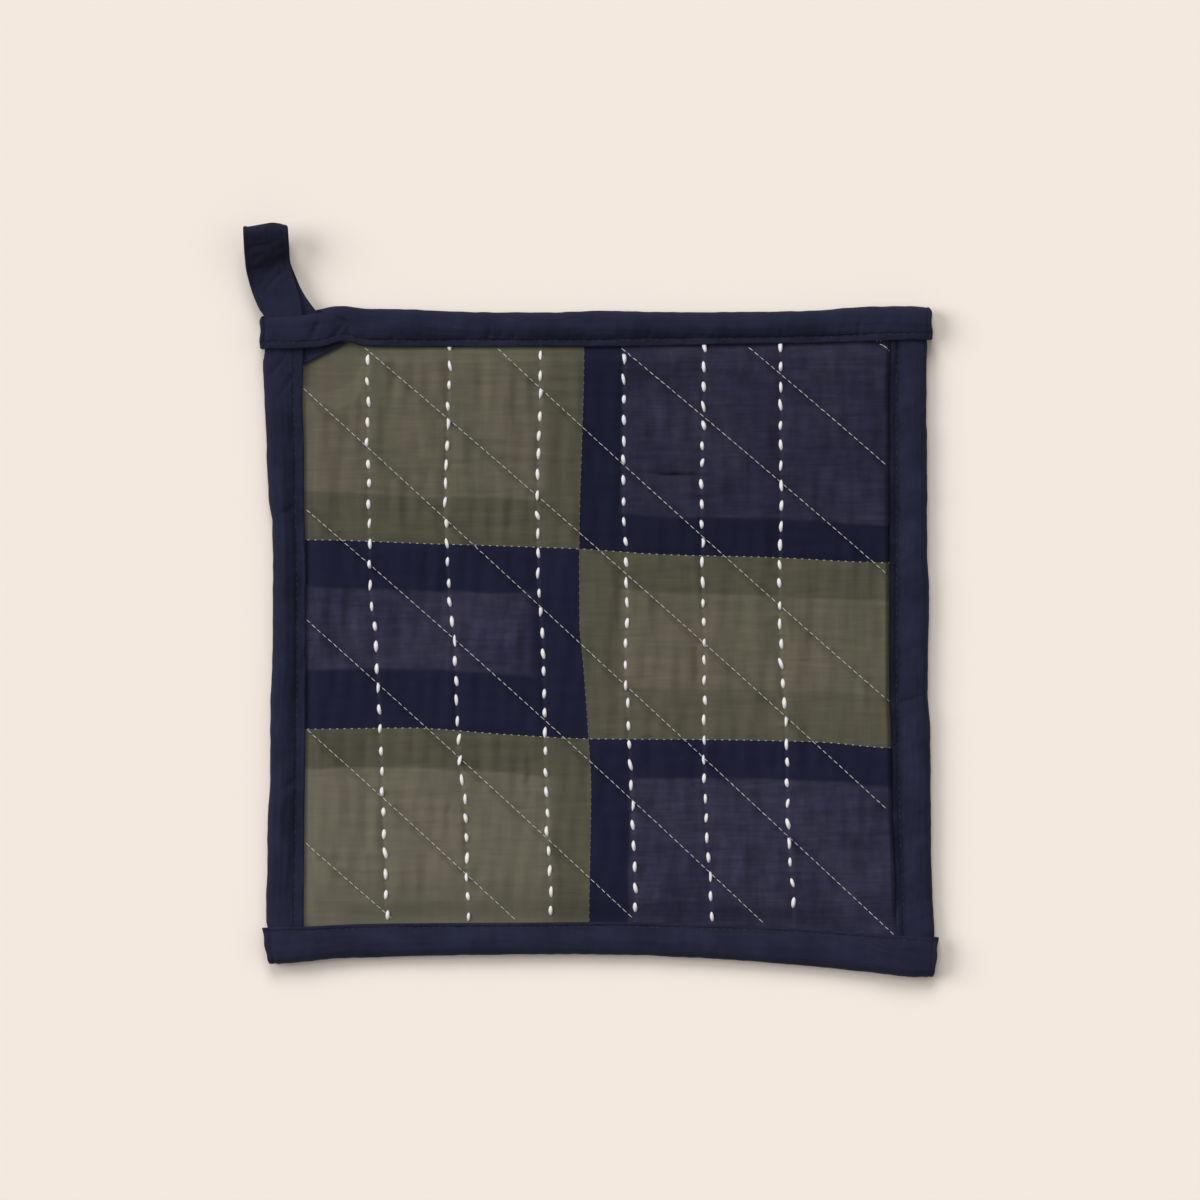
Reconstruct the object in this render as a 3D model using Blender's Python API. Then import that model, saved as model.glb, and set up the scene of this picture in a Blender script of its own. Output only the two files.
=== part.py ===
"""Quilted pot holder, face up: a square filled panel, four strips of binding and a hanging loop.

Lengths are millimetres until a mesh is made. X runs along the edge that carries the loop, Y points to
that edge and Z is up. The origin is the middle of the underside, on the surface that it lies on.
"""
import math
from collections import namedtuple

import bmesh
import bpy
import numpy as np

MM = 0.001

# Cloth and clearance
CLOTH = 1.0  # folded binding, and the folded strip of the loop
GAP = 0.3  # between one piece and the next

# Binding section
CROWN = 0.4  # how far the front of the binding swells above its shoulder
FOLD = 3.2  # depth of the rounded outer fold
FOLD_ANGLES = (-90, -60, -30, 0, 30, 60, 90)
CROWN_SHARE, SLOPE_SHARE = 0.42, 0.68  # where across the face its crown and its slope to the stitches lie
EDGE_STITCH = 1.5  # from the inner edge of the face to the stitches that hold it
BINDING_STEP = 8.0  # longest stretch between two sections
PANEL_INSET = 3.4  # from the outer fold of the binding to the raw edge of the panel

# Panel
RIM_TOP = 4.3  # top of the panel beside its pressed rim
RIM_BOTTOM = 1.3
RIM_FLAT = 1.2  # stays pressed this far in from the binding
RISE = 7.0  # the filling reaches its full height this far further in
PUFF = 2.3  # full height above the rim
CELL = 4.7  # spacing of the points on the face
UNDER_RISE = 6.0  # the underside is flat this far in from the binding
SLANT_DEPTH, SLANT_REACH = 1.25, 4.6  # trough of a machine quilting line
HAND_DEPTH, HAND_REACH = 0.5, 3.0  # trough of a row of hand stitches
SEAM_DEPTH, SEAM_REACH = 0.35, 2.5
SLACK = 0.25  # uneven lie of the filling

# Where the end of the loop's strip lies on the corner of the panel
TAB_TOP_LIMIT = 3.8
TAB_REACH = 5.2
TAB_SLOPE = 0.42

# Opening in the fold of the top binding, where the loop comes out
SLOT_X = (-112.5, -92.6)
SLOT_Y = (104.4, 111.0)
SLOT_Z = (3.6, 6.7)

# Loop
LOOP_EDGE = 0.7  # width of the thinner margin along each side of the strip
LOOP_THIN = 0.55  # share of the thickness left at the very edge
LOOP_SECTIONS = 56

# A binding: where along it, how far its inner edge is shifted along, its outer fold, its stitched inner
# edge, the heights of its underside and of its shoulder, and how far below that the stitches draw it
Band = namedtuple("Band", "along lean outer inner base top sink")
TOP = [
    Band(-113.2, 0.0, 106.7, 95.6, 0, 8.1, 0.0),
    Band(-104.0, 0.0, 107.3, 95.6, 0, 8.1, 0.0),
    Band(-98.0, 0.0, 107.7, 95.7, 0, 8.0, 0.0),
    Band(-94.0, 0.0, 108.8, 96.0, 0, 7.6, 0.0),
    Band(-85.0, 0.0, 109.9, 98.0, 0, 6.6, 0.2),
    Band(-78.0, 0.0, 109.0, 96.4, 0, 6.1, 0.7),
    Band(-63.0, 0.0, 108.8, 96.2, 0, 5.6, 1.5),
    Band(-48.0, 0.0, 108.1, 96.3, 0, 5.9, 1.8),
    Band(-17.0, 0.0, 107.8, 96.3, 0, 6.0, 1.9),
    Band(0.0, 0.0, 108.3, 96.4, 0, 5.9, 1.9),
    Band(30.0, 0.0, 107.9, 96.9, 0, 6.0, 1.9),
    Band(66.0, 0.0, 108.2, 97.4, 0, 5.9, 1.8),
    Band(86.0, 0.0, 109.5, 98.0, 0, 6.2, 0.9),
    Band(95.5, 0.0, 109.8, 98.4, 0, 7.1, 0.0),
    Band(102.0, 0.0, 109.9, 98.5, 0, 7.1, 0.0),
    Band(110.4, 0.3, 109.5, 98.7, 0, 7.1, 0.0),
]
BOTTOM = [
    Band(-110.6, -1.9, -109.4, -97.2, 0, 7.1, 0.0),
    Band(-104.0, 0.0, -109.1, -96.8, 0, 7.1, 0.0),
    Band(-97.0, 0.0, -108.3, -96.6, 0, 7.1, 0.0),
    Band(-88.0, 0.0, -107.4, -96.2, 0, 6.2, 0.7),
    Band(-76.0, 0.0, -107.0, -95.8, 0, 5.6, 1.5),
    Band(-56.0, 0.0, -106.5, -95.6, 0, 5.9, 1.8),
    Band(-20.0, 0.0, -106.0, -95.4, 0, 6.0, 1.9),
    Band(5.0, 0.0, -106.1, -95.2, 0, 5.9, 1.9),
    Band(30.0, 0.0, -107.1, -95.8, 0, 5.9, 1.9),
    Band(50.0, 0.0, -108.3, -96.4, 0, 6.0, 1.9),
    Band(68.0, 0.0, -109.8, -97.4, 0, 5.9, 1.7),
    Band(86.0, 0.0, -111.6, -98.7, 0, 6.2, 0.8),
    Band(97.0, 0.0, -112.8, -99.5, 0, 7.1, 0.0),
    Band(106.0, 0.0, -113.5, -100.1, 0, 7.1, 0.0),
    Band(111.5, 1.2, -113.5, -100.3, 0, 7.1, 0.0),
]
LEFT = [
    Band(-105.0, 0.0, -109.3, -98.8, 1.3, 5.4, 0.0),
    Band(-97.2, 0.0, -110.7, -98.7, 1.3, 5.4, 0.0),
    Band(-94.5, 0.0, -111.3, -98.7, 1.3, 5.4, 0.0),
    Band(-79.0, 0.0, -110.9, -98.6, 0, 5.6, 1.5),
    Band(-60.0, 0.0, -110.6, -98.5, 0, 5.9, 1.9),
    Band(-48.0, 0.0, -109.9, -98.3, 0, 6.0, 1.9),
    Band(-22.0, 0.0, -109.8, -98.1, 0, 5.9, 1.9),
    Band(-10.0, 0.0, -109.2, -98.0, 0, 5.9, 1.9),
    Band(20.0, 0.0, -108.9, -98.0, 0, 6.0, 1.9),
    Band(38.0, 0.0, -109.2, -98.4, 0, 5.9, 1.9),
    Band(46.0, 0.0, -110.4, -98.6, 0, 5.9, 1.9),
    Band(62.0, 0.0, -111.0, -98.6, 0, 5.9, 1.7),
    Band(78.0, 0.0, -111.7, -99.1, 0, 5.8, 0.7),
    Band(91.0, 0.0, -112.2, -98.8, 1.2, 6.3, 0.0),
    Band(94.6, 0.0, -111.7, -98.7, 1.3, 6.4, 0.0),
    Band(104.0, 0.0, -111.5, -98.7, 1.3, 6.4, 0.0),
]
RIGHT = [
    Band(-109.0, 0.0, 109.8, 98.9, 1.3, 5.4, 0.0),
    Band(-99.5, 0.0, 111.3, 98.9, 1.3, 5.4, 0.0),
    Band(-96.5, 0.0, 111.2, 98.8, 1.3, 5.4, 0.0),
    Band(-82.0, 0.0, 110.5, 98.4, 0, 5.6, 1.4),
    Band(-60.0, 0.0, 110.2, 97.5, 0, 5.9, 1.9),
    Band(-32.0, 0.0, 110.1, 97.0, 0, 6.0, 1.9),
    Band(-18.0, 0.0, 109.2, 96.4, 0, 5.9, 1.9),
    Band(14.0, 0.0, 109.6, 96.4, 0, 6.0, 1.9),
    Band(30.0, 0.0, 108.9, 96.4, 0, 5.9, 1.9),
    Band(60.0, 0.0, 108.9, 96.4, 0, 5.9, 1.9),
    Band(83.0, 0.0, 108.7, 96.3, 0, 5.6, 1.3),
    Band(96.5, 0.0, 108.9, 96.9, 1.3, 5.4, 0.0),
    Band(106.4, 0.0, 108.6, 97.0, 1.3, 5.4, 0.0),
]

# The slanting lines of machine quilting, from their upper left to their lower right ends
Slant = namedtuple("Slant", "x0 y0 x1 y1")
SLANTS = [
    Slant(49.3, 96.3, 96.0, 56.3),
    Slant(7.0, 96.0, 96.3, 20.0),
    Slant(-34.3, 96.0, 96.2, -21.7),
    Slant(-78.7, 96.3, 97.3, -59.3),
    Slant(-99.0, 82.7, 97.7, -99.3),
    Slant(-98.0, 42.3, 55.2, -96.3),
    Slant(-98.0, 5.7, 11.7, -94.7),
    Slant(-97.7, -31.0, -28.7, -94.0),
    Slant(-98.3, -68.7, -69.0, -94.3),
]

# The six rows of hand stitches: how far across each one is at these heights of the panel
Rows = namedtuple("Rows", "y first second third fourth fifth sixth")
HAND_ROWS = [
    Rows(-95.0, -71.0, -44.0, -16.3, 11.8, 37.2, 64.5),
    Rows(-60.0, -72.0, -44.8, -17.5, 11.0, 35.2, 62.5),
    Rows(-35.0, -73.0, -47.2, -18.3, 9.7, 34.7, 62.0),
    Rows(-5.0, -74.3, -48.3, -18.8, 8.5, 35.0, 60.3),
    Rows(15.0, -76.2, -50.3, -20.3, 9.0, 34.2, 59.8),
    Rows(45.0, -77.0, -51.3, -20.7, 7.7, 33.8, 60.3),
    Rows(95.0, -77.2, -50.0, -19.7, 8.0, 34.7, 60.2),
]

# The patchwork seams: one down the middle, two across
DOWN_SEAM = [
    (-96.0, -3.6),
    (-51.0, -3.0),
    (-34.0, -3.8),
    (-8.0, -5.7),
    (4.0, -6.8),
    (29.0, -6.9),
    (96.0, -5.3),
]
UPPER_SEAM = [(-98.0, 32.0), (-56.0, 30.7), (-7.0, 29.0), (21.0, 27.1), (56.0, 26.2), (97.0, 24.4)]
LOWER_SEAM = [
    (-98.0, -31.0),
    (-64.0, -30.6),
    (-31.0, -32.8),
    (-4.0, -34.2),
    (37.0, -34.5),
    (73.0, -35.3),
    (97.5, -37.2),
]

# The loop's strip: its middle line, how far its width is turned from X in degrees, and its width.
# It starts on the corner of the panel, runs out under the binding, round the tip and back.
Strip = namedtuple("Strip", "x y z turn width")
LOOP = [
    Strip(-91.8, 94.0, 4.6, 26.0, 15.2),
    Strip(-96.3, 99.3, 4.6, 31.0, 15.2),
    Strip(-101.4, 104.9, 4.6, 33.0, 15.2),
    Strip(-105.3, 110.5, 4.5, 30.0, 15.2),
    Strip(-108.2, 116.7, 2.3, 22.0, 15.2),
    Strip(-110.6, 123.5, 0.95, 13.0, 15.2),
    Strip(-111.0, 128.6, 1.1, 7.0, 15.2),
    Strip(-111.2, 132.8, 3.3, 5.0, 15.2),
    Strip(-111.2, 135.6, 7.8, 4.3, 15.1),
    Strip(-111.2, 136.3, 11.6, 4.3, 15.1),
    Strip(-111.1, 134.8, 13.6, 4.3, 15.1),
    Strip(-111.0, 131.8, 13.0, 5.5, 15.1),
    Strip(-110.8, 127.8, 10.5, 11.0, 15.2),
    Strip(-110.4, 123.4, 8.0, 17.0, 15.2),
    Strip(-109.4, 118.8, 6.8, 18.0, 15.0),
    Strip(-108.0, 114.2, 6.3, 18.0, 14.6),
    Strip(-106.6, 110.4, 6.0, 15.0, 14.0),
    Strip(-105.6, 107.6, 5.9, 7.0, 13.2),
    Strip(-105.2, 105.5, 5.9, 2.0, 12.9),
]

NAVY = (0.016, 0.018, 0.045)
OLIVE = (0.095, 0.088, 0.062)


def between(places, values, at):
    """Cubic through the given values that never overshoots them, held level past both ends."""
    places, values, at = (np.asarray(each, float) for each in (places, values, at))
    step = np.diff(places)
    rise = np.diff(values) / step
    before, after = rise[:-1], rise[1:]
    same_way = before * after > 0
    total = np.where(same_way, before + after, 1.0)
    slope = np.zeros(len(places))
    slope[1:-1] = np.where(same_way, 2 * before * after / total, 0.0)
    k = np.clip(np.searchsorted(places, at, side="right") - 1, 0, len(step) - 1)
    t = np.clip((at - places[k]) / step[k], 0, 1)
    return (
        values[k] * (1 + 2 * t) * (1 - t) ** 2
        + slope[k] * step[k] * t * (1 - t) ** 2
        + values[k + 1] * t * t * (3 - 2 * t)
        + slope[k + 1] * step[k] * t * t * (t - 1)
    )


def of_band(band, column, along):
    """One column of a binding's table at any place along it."""
    return between([row.along for row in band], [getattr(row, column) for row in band], along)


def ramp(value, low, high):
    """Smooth step from 0 at low to 1 at high."""
    t = np.clip((value - low) / (high - low), 0, 1)
    return t * t * (3 - 2 * t)


def divided(places, longest):
    """The given places with even steps added, none longer than that."""
    parts = [np.linspace(a, b, math.ceil((b - a) / longest) + 1)[:-1] for a, b in zip(places, places[1:])]
    return np.append(np.concatenate(parts), places[-1])


def material(name, colour, roughness):
    made = bpy.data.materials.new(name)
    made.use_nodes = True
    shader = made.node_tree.nodes["Principled BSDF"]
    shader.inputs["Base Color"].default_value = (*colour, 1)
    shader.inputs["Roughness"].default_value = roughness
    shader.inputs["Metallic"].default_value = 0
    return made


def piece(name, points, faces, look, parent):
    """One closed mesh from points in millimetres, with its faces turned outwards."""
    mesh = bpy.data.meshes.new(name)
    shape = bmesh.new()
    corners = [shape.verts.new([c * MM for c in point]) for point in points]
    for face in faces:
        shape.faces.new([corners[i] for i in face])
    loose = [corner for corner in corners if not corner.link_faces]
    bmesh.ops.delete(shape, geom=loose, context="VERTS")
    bmesh.ops.recalc_face_normals(shape, faces=shape.faces)
    shape.to_mesh(mesh)
    shape.free()
    mesh.shade_smooth()
    mesh.set_sharp_from_angle(angle=math.radians(50))
    mesh.materials.append(look)
    made = bpy.data.objects.new(name, mesh)
    bpy.context.scene.collection.objects.link(made)
    made.parent = parent
    return made


def channel(width, base, top, sink):
    """The binding's section, as insets from the fold and heights: its skin from the underside's inner
    edge round the fold to the face's inner edge, then its inside back from there."""
    shoulder = top + 0.6 * CROWN
    middle, half = (shoulder + base) / 2, (shoulder - base) / 2
    angles = np.radians(FOLD_ANGLES)
    skin = [(width, base)]
    skin += [(FOLD * (1 - math.cos(a)), middle + half * math.sin(a)) for a in angles]
    face = [
        (CROWN_SHARE * width, top + CROWN),
        (SLOPE_SHARE * width, top + 0.65 * CROWN - 0.35 * sink),
        (width - EDGE_STITCH, top - sink),
        (width, top - sink),
    ]
    inside = [(inset, height - CLOTH) for inset, height in reversed(face)]
    inside += [(FOLD, shoulder - CLOTH), (CLOTH, middle + 0.35 * half), (CLOTH, middle - 0.35 * half)]
    inside += [(FOLD, base + CLOTH), (width, base + CLOTH)]
    return skin + face, inside


def binding(name, band, across, turned_in, look, parent):
    """A strip folded over the edge of the panel. across is 1 where it runs along X, and 0 along Y.
    Where its ends are turned in, they close the channel."""
    ends = [band[0].along, band[-1].along]
    places = [row.along for row in band]
    if turned_in:
        places = [ends[0], ends[0] + CLOTH, *places[1:-1], ends[1] - CLOTH, ends[1]]
    stations = divided(places, BINDING_STEP)
    points = []
    for along in stations:
        lean, outer, inner, base, top, sink = (float(of_band(band, c, along)) for c in Band._fields[1:])
        skin, inside = channel(abs(inner - outer), base, top, sink)
        for inset, height in skin + inside:
            share = inset / abs(inner - outer)
            spot = [along + lean * share, outer + (inner - outer) * share]
            points.append((*(spot if across else spot[::-1]), height))
    ring, skins = len(skin) + len(inside), len(skin)
    last, mouth = len(stations) - 1, (skins, ring - 1)
    closed = {0, last - 1} if turned_in else set()
    faces = []
    for k in range(last):
        strips = list(zip(range(skins), range(1, skins + 1))) + [(ring - 1, 0)]
        strips += [mouth] if k in closed else list(zip(range(skins, ring - 1), range(skins + 1, ring)))
        faces += [(k * ring + a, k * ring + b, (k + 1) * ring + b, (k + 1) * ring + a) for a, b in strips]
    outline = [*range(skins), *mouth] if turned_in else list(range(ring))
    faces += [[k * ring + i for i in outline] for k in (0, last)]
    if turned_in:
        faces += [[k * ring + i for i in range(skins, ring)] for k in (1, last - 1)]
    return piece(name, points, faces, look, parent)


def slot_for_loop(binding_piece, parent):
    """Cuts the opening in the top binding's fold that the loop's strip passes through."""
    corners = [(x, y, z) for z in SLOT_Z for y in SLOT_Y for x in SLOT_X]
    sides = [(0, 1, 3, 2), (4, 5, 7, 6), (0, 1, 5, 4), (2, 3, 7, 6), (0, 2, 6, 4), (1, 3, 7, 5)]
    cutter = piece("loop_slot", corners, sides, binding_piece.data.materials[0], parent)
    cutter.hide_render = True
    cutter.display_type = "WIRE"
    cut = binding_piece.modifiers.new("loop_slot", "BOOLEAN")
    cut.operation = "DIFFERENCE"
    cut.object = cutter


def distance_to_segment(x, y, start, end):
    """How far each point lies from a straight line in the plane."""
    run = np.subtract(end, start)
    share = np.clip(((x - start[0]) * run[0] + (y - start[1]) * run[1]) / (run @ run), 0, 1)
    return np.hypot(x - start[0] - share * run[0], y - start[1] - share * run[1])


def trough(distance, reach):
    """1 on a stitched line, fading to 0 away from it."""
    return np.exp(-((distance / reach) ** 2))


def quilting(x, y):
    """How deep the stitched lines draw the face down at each point."""
    slanted = np.max([trough(distance_to_segment(x, y, s[:2], s[2:]), SLANT_REACH) for s in SLANTS], axis=0)
    heights = [row.y for row in HAND_ROWS]
    routes = [between(heights, [row[1 + n] for row in HAND_ROWS], y) for n in range(6)]
    sewn = np.max([trough(x - route, HAND_REACH) for route in routes], axis=0)
    down = trough(x - between(*zip(*DOWN_SEAM), y), SEAM_REACH)
    over = [trough(y - between(*zip(*seam), x), SEAM_REACH) for seam in (UPPER_SEAM, LOWER_SEAM)]
    seams = np.max([down, *over], axis=0)
    return np.maximum(SLANT_DEPTH * slanted, np.maximum(HAND_DEPTH * sewn, SEAM_DEPTH * seams))


def inside_edges(x, y):
    """Distance inwards from the stitched edge of each binding: left, right, bottom, top."""
    return (
        x - of_band(LEFT, "inner", y),
        of_band(RIGHT, "inner", y) - x,
        y - of_band(BOTTOM, "inner", x),
        of_band(TOP, "inner", x) - y,
    )


def pressed_heights(x, y):
    """Underside and top of the panel where the bindings hold it, at every point of the plan."""
    bottom, top = np.full(x.shape, RIM_BOTTOM), np.full(x.shape, RIM_TOP)
    for inward, band, along in zip(inside_edges(x, y), (LEFT, RIGHT, BOTTOM, TOP), (y, y, x, x)):
        held = inward < RIM_FLAT + GAP
        low = of_band(band, "base", along) + CLOTH + GAP
        high = of_band(band, "top", along) - of_band(band, "sink", along) - CLOTH - GAP
        bottom = np.where(held, np.maximum(bottom, low), bottom)
        top = np.where(held, np.minimum(top, high), top)
    return bottom, top


def face_height(x, y):
    """Top of the panel: pressed at the rim, filled further in, drawn down along the stitching."""
    inward = np.min(inside_edges(x, y), axis=0)
    rim = pressed_heights(x, y)[1]
    lie = SLACK * np.sin(x / 17.0 + 0.6) * np.cos(y / 21.0 - 0.4)
    filled = rim + ramp(inward, RIM_FLAT, RIM_FLAT + RISE) * (PUFF + lie - quilting(x, y))
    from_tab = distance_to_segment(x, y, (LOOP[0].x, LOOP[0].y), (LOOP[2].x, LOOP[2].y))
    clear = from_tab - LOOP[0].width / 2 - TAB_REACH
    return np.minimum(filled, TAB_TOP_LIMIT + np.maximum(clear, 0) * TAB_SLOPE)


def panel_plan():
    """Grid of the panel in plan. Inside the bindings it blends their four inner edges; one more line on
    each side carries it to the raw edge in the fold."""

    def crossing(side, level):
        x, y = side[len(side) // 2].inner, level[0].inner
        for _ in range(8):
            x, y = float(of_band(side, "inner", y)), float(of_band(level, "inner", x))
        return np.array([x, y])

    def line(start, end, share):
        return start[:, None, None] * (1 - share) + end[:, None, None] * share

    corners = {(i, j): crossing((LEFT, RIGHT)[i], (BOTTOM, TOP)[j]) for i in (0, 1) for j in (0, 1)}
    length = corners[1, 0][0] - corners[0, 0][0]
    flat = RIM_FLAT / length
    shares = np.concatenate([[0], np.linspace(flat, 1 - flat, math.ceil(length / CELL) + 1), [1]])
    u, v = np.meshgrid(shares, shares, indexing="ij")
    low, high = line(corners[0, 0], corners[1, 0], u), line(corners[0, 1], corners[1, 1], u)
    left, right = line(corners[0, 0], corners[0, 1], v), line(corners[1, 0], corners[1, 1], v)
    straight = (1 - v) * low + v * high
    low[1], high[1] = of_band(BOTTOM, "inner", low[0]), of_band(TOP, "inner", high[0])
    left[0], right[0] = of_band(LEFT, "inner", left[1]), of_band(RIGHT, "inner", right[1])
    inside = (1 - v) * low + v * high + (1 - u) * left + u * right - straight
    x, y = np.pad(inside, ((0, 0), (1, 1), (1, 1)), "edge")
    for _ in range(3):
        x[0] = of_band(LEFT, "outer", y[0]) + PANEL_INSET
        x[-1] = of_band(RIGHT, "outer", y[-1]) - PANEL_INSET
        y[:, 0] = of_band(BOTTOM, "outer", x[:, 0]) + PANEL_INSET
        y[:, -1] = of_band(TOP, "outer", x[:, -1]) - PANEL_INSET
    return x, y


def panel(look, parent):
    """The filled panel: a grid of the face, a flat underside, and the pressed rim between them."""
    x, y = panel_plan()
    n = len(x)
    top = face_height(x, y)
    bottom = pressed_heights(x, y)[0]
    index = np.arange(n * n).reshape(n, n)
    points = np.stack([x, y, top], axis=-1).reshape(-1, 3).tolist()
    a, b, c, d = index[:-1, :-1], index[1:, :-1], index[1:, 1:], index[:-1, 1:]
    halves = [np.stack([a, b, d], -1), np.stack([b, c, d], -1)]
    faces = np.concatenate([half.reshape(-1, 3) for half in halves]).tolist()

    def around(grid, margin):
        kept = grid[margin : n - margin, margin : n - margin]
        return np.concatenate([kept[:-1, 0], kept[-1, :-1], kept[:0:-1, -1], kept[0, :0:-1]])

    def ring(margin, heights):
        spots = np.stack([around(x, margin), around(y, margin), heights], axis=-1)
        points.extend(spots.tolist())
        return list(range(len(points) - len(spots), len(points)))

    def joined(outer, inner):
        """Quads between two rings, where the inner one turns each corner with fewer points."""
        per_side = (len(outer) - len(inner)) // 8
        side_out, side_in = len(outer) // 4, len(inner) // 4
        for side in range(4):
            out = [outer[(side * side_out + k) % len(outer)] for k in range(side_out + 1)]
            into = [inner[(side * side_in + k) % len(inner)] for k in range(side_in + 1)]
            for k in range(side_out):
                p = into[min(max(k - per_side, 0), side_in)]
                q = into[min(max(k + 1 - per_side, 0), side_in)]
                faces.append([out[k], out[k + 1], q, p] if p != q else [out[k], out[k + 1], p])

    raw_top = around(index, 0).tolist()
    raw = ring(0, around(bottom, 0))
    held = ring(1, around(bottom, 1))
    pressed = ring(2, around(bottom, 2))
    faces.extend([raw_top[k], raw_top[k - 1], raw[k - 1], raw[k]] for k in range(len(raw)))
    joined(raw, held)
    joined(held, pressed)
    level_margin = 2 + round(UNDER_RISE / CELL)
    level = ring(level_margin, np.zeros(4 * (n - 1 - 2 * level_margin)))
    joined(pressed, level)
    faces.append(level)
    return piece("quilted_panel", points, faces, look, parent)


def loop(look, parent):
    """The folded strip of the hanging loop, swept along its middle line with its width turned as listed."""
    knots = np.array(LOOP)
    steps = np.linalg.norm(np.diff(knots[:, :3], axis=0), axis=1)
    reach = np.concatenate([[0], np.cumsum(steps)])
    at = np.linspace(0, reach[-1], LOOP_SECTIONS)
    # Catmull-Rom slopes, so that the strip bends evenly through every listed point
    slope = np.gradient(knots, reach, axis=0)
    k = np.clip(np.searchsorted(reach, at, side="right") - 1, 0, len(steps) - 1)
    h = steps[k][:, None]
    t = ((at - reach[k]) / steps[k])[:, None]
    line = (
        knots[k] * (1 + 2 * t) * (1 - t) ** 2
        + slope[k] * h * t * (1 - t) ** 2
        + knots[k + 1] * t * t * (3 - 2 * t)
        + slope[k + 1] * h * t * t * (t - 1)
    )
    centre, turn, half_width = line[:, :3], np.radians(line[:, 3]), line[:, 4] / 2
    side = np.stack([np.cos(turn), np.sin(turn), np.zeros_like(turn)], axis=-1)
    ahead = np.gradient(centre, axis=0)
    up = np.cross(side, ahead)
    up /= np.linalg.norm(up, axis=1)[:, None]
    half, thin = CLOTH / 2, LOOP_THIN * CLOTH / 2
    section = [(-1, 0, thin), (-1, LOOP_EDGE, half), (1, -LOOP_EDGE, half), (1, 0, thin)]
    section += [(sign, shift, -height) for sign, shift, height in reversed(section)]
    spots = []
    for sign, shift, height in section:
        spots.append(centre + side * (sign * half_width + shift)[:, None] + up * height)
    points = np.stack(spots, axis=1).reshape(-1, 3).tolist()
    ring = len(section)
    faces = [
        [k * ring + i, k * ring + (i + 1) % ring, (k + 1) * ring + (i + 1) % ring, (k + 1) * ring + i]
        for k in range(LOOP_SECTIONS - 1)
        for i in range(ring)
    ]
    faces += [list(range(ring)), list(range((LOOP_SECTIONS - 1) * ring, LOOP_SECTIONS * ring))]
    return piece("hanging_loop", points, faces, look, parent)


def main():
    for old in list(bpy.data.objects):
        bpy.data.objects.remove(old)
    holder = bpy.data.objects.new("pot_holder", None)
    bpy.context.scene.collection.objects.link(holder)
    panel(material("quilted_cotton", OLIVE, 0.9), holder)
    top = binding("binding_top", TOP, 1, True, material("binding_top_cotton", NAVY, 0.85), holder)
    slot_for_loop(top, holder)
    binding("binding_bottom", BOTTOM, 1, True, material("binding_bottom_cotton", NAVY, 0.85), holder)
    binding("binding_left", LEFT, 0, False, material("binding_left_cotton", NAVY, 0.85), holder)
    binding("binding_right", RIGHT, 0, False, material("binding_right_cotton", NAVY, 0.85), holder)
    loop(material("loop_cotton", NAVY, 0.85), holder)


main()
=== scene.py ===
"""Looks of a quilted patchwork pot holder that lies face up on a pale surface.

Lengths are millimetres until a mesh is made. X runs along the edge that carries the loop, Y points to
that edge and Z is up. The tables of the bindings, seams, quilting lines and the loop are those of the
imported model, so every fine piece lies on the solid that it replaces.
"""
import math
from collections import namedtuple

import bmesh
import bpy
import numpy as np
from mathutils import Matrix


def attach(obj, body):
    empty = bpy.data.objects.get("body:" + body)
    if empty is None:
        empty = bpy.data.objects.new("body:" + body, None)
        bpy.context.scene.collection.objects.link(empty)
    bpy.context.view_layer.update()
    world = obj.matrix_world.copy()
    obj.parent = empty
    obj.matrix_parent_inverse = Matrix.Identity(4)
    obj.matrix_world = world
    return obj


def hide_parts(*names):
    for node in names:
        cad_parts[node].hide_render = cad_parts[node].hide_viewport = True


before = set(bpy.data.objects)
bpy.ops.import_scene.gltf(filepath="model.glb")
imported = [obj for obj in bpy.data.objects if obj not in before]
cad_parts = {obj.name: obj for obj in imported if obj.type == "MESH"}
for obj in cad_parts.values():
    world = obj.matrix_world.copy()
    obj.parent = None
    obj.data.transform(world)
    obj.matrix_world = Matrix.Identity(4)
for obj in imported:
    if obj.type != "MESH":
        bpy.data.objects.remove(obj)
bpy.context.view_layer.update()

MM = 0.001
UP, DOWN = (0.0, 0.0, 1.0), (0.0, 0.0, -1.0)

# Camera and surface
PHOTO_WIDTH = 400.0  # what the photograph's width takes in
PHOTO_CENTRE = (0.0, 12.0)
CAMERA_HEIGHT = 4000.0
SENSOR = 36.0
FLOOR_HALF = 2500.0
FLOOR_DROP = 0.2  # keeps the surface just clear of the cloth

# Cloth and clearance
CLOTH = 1.0
GAP = 0.3

# Binding section
CROWN = 0.4
FOLD = 3.2
PANEL_INSET = 3.4
BINDING_PITCH = 0.42
EDGE_GROOVE = (0.38, 0.5)  # depth and reach
THINNEST = 0.8  # how far the skin of a binding may sink into its cloth
# Where a binding is highest, as a share of its width, how far from its inner edge its stitches run, and
# how much painted shade darkens its cloth there, for the shadow that falls in the ditch beside the panel
Edge = namedtuple("Edge", "crest stitch shade")
LEFT_EDGE, RIGHT_EDGE = Edge(0.33, 3.0, 0.16), Edge(0.33, 2.3, 0.36)
BOTTOM_EDGE, TOP_EDGE = Edge(0.42, 1.5, 0.04), Edge(0.42, 2.1, 0.22)

# Panel
FACE_LINES = 401
BACK_EVERY = 4  # the back keeps every fourth line of the face
RIM_TOP = 4.3
RIM_BOTTOM = 1.3
RIM_FLAT = 0.3
# Inside the left, right, bottom and top binding: from where to where the panel comes free, and how far it
# takes to fill out
FREED = ((1.5, 5.2), (0.1, 1.1), (0.0, 8.0), (1.5, 5.2))
RISES = (3.4, 1.0, 16.0, 4.6)
PUFF = 2.3  # how far the filling lifts the face above its rim
UNDER_RISE = 6.0  # how far inwards the underside takes to come down to the surface
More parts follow.
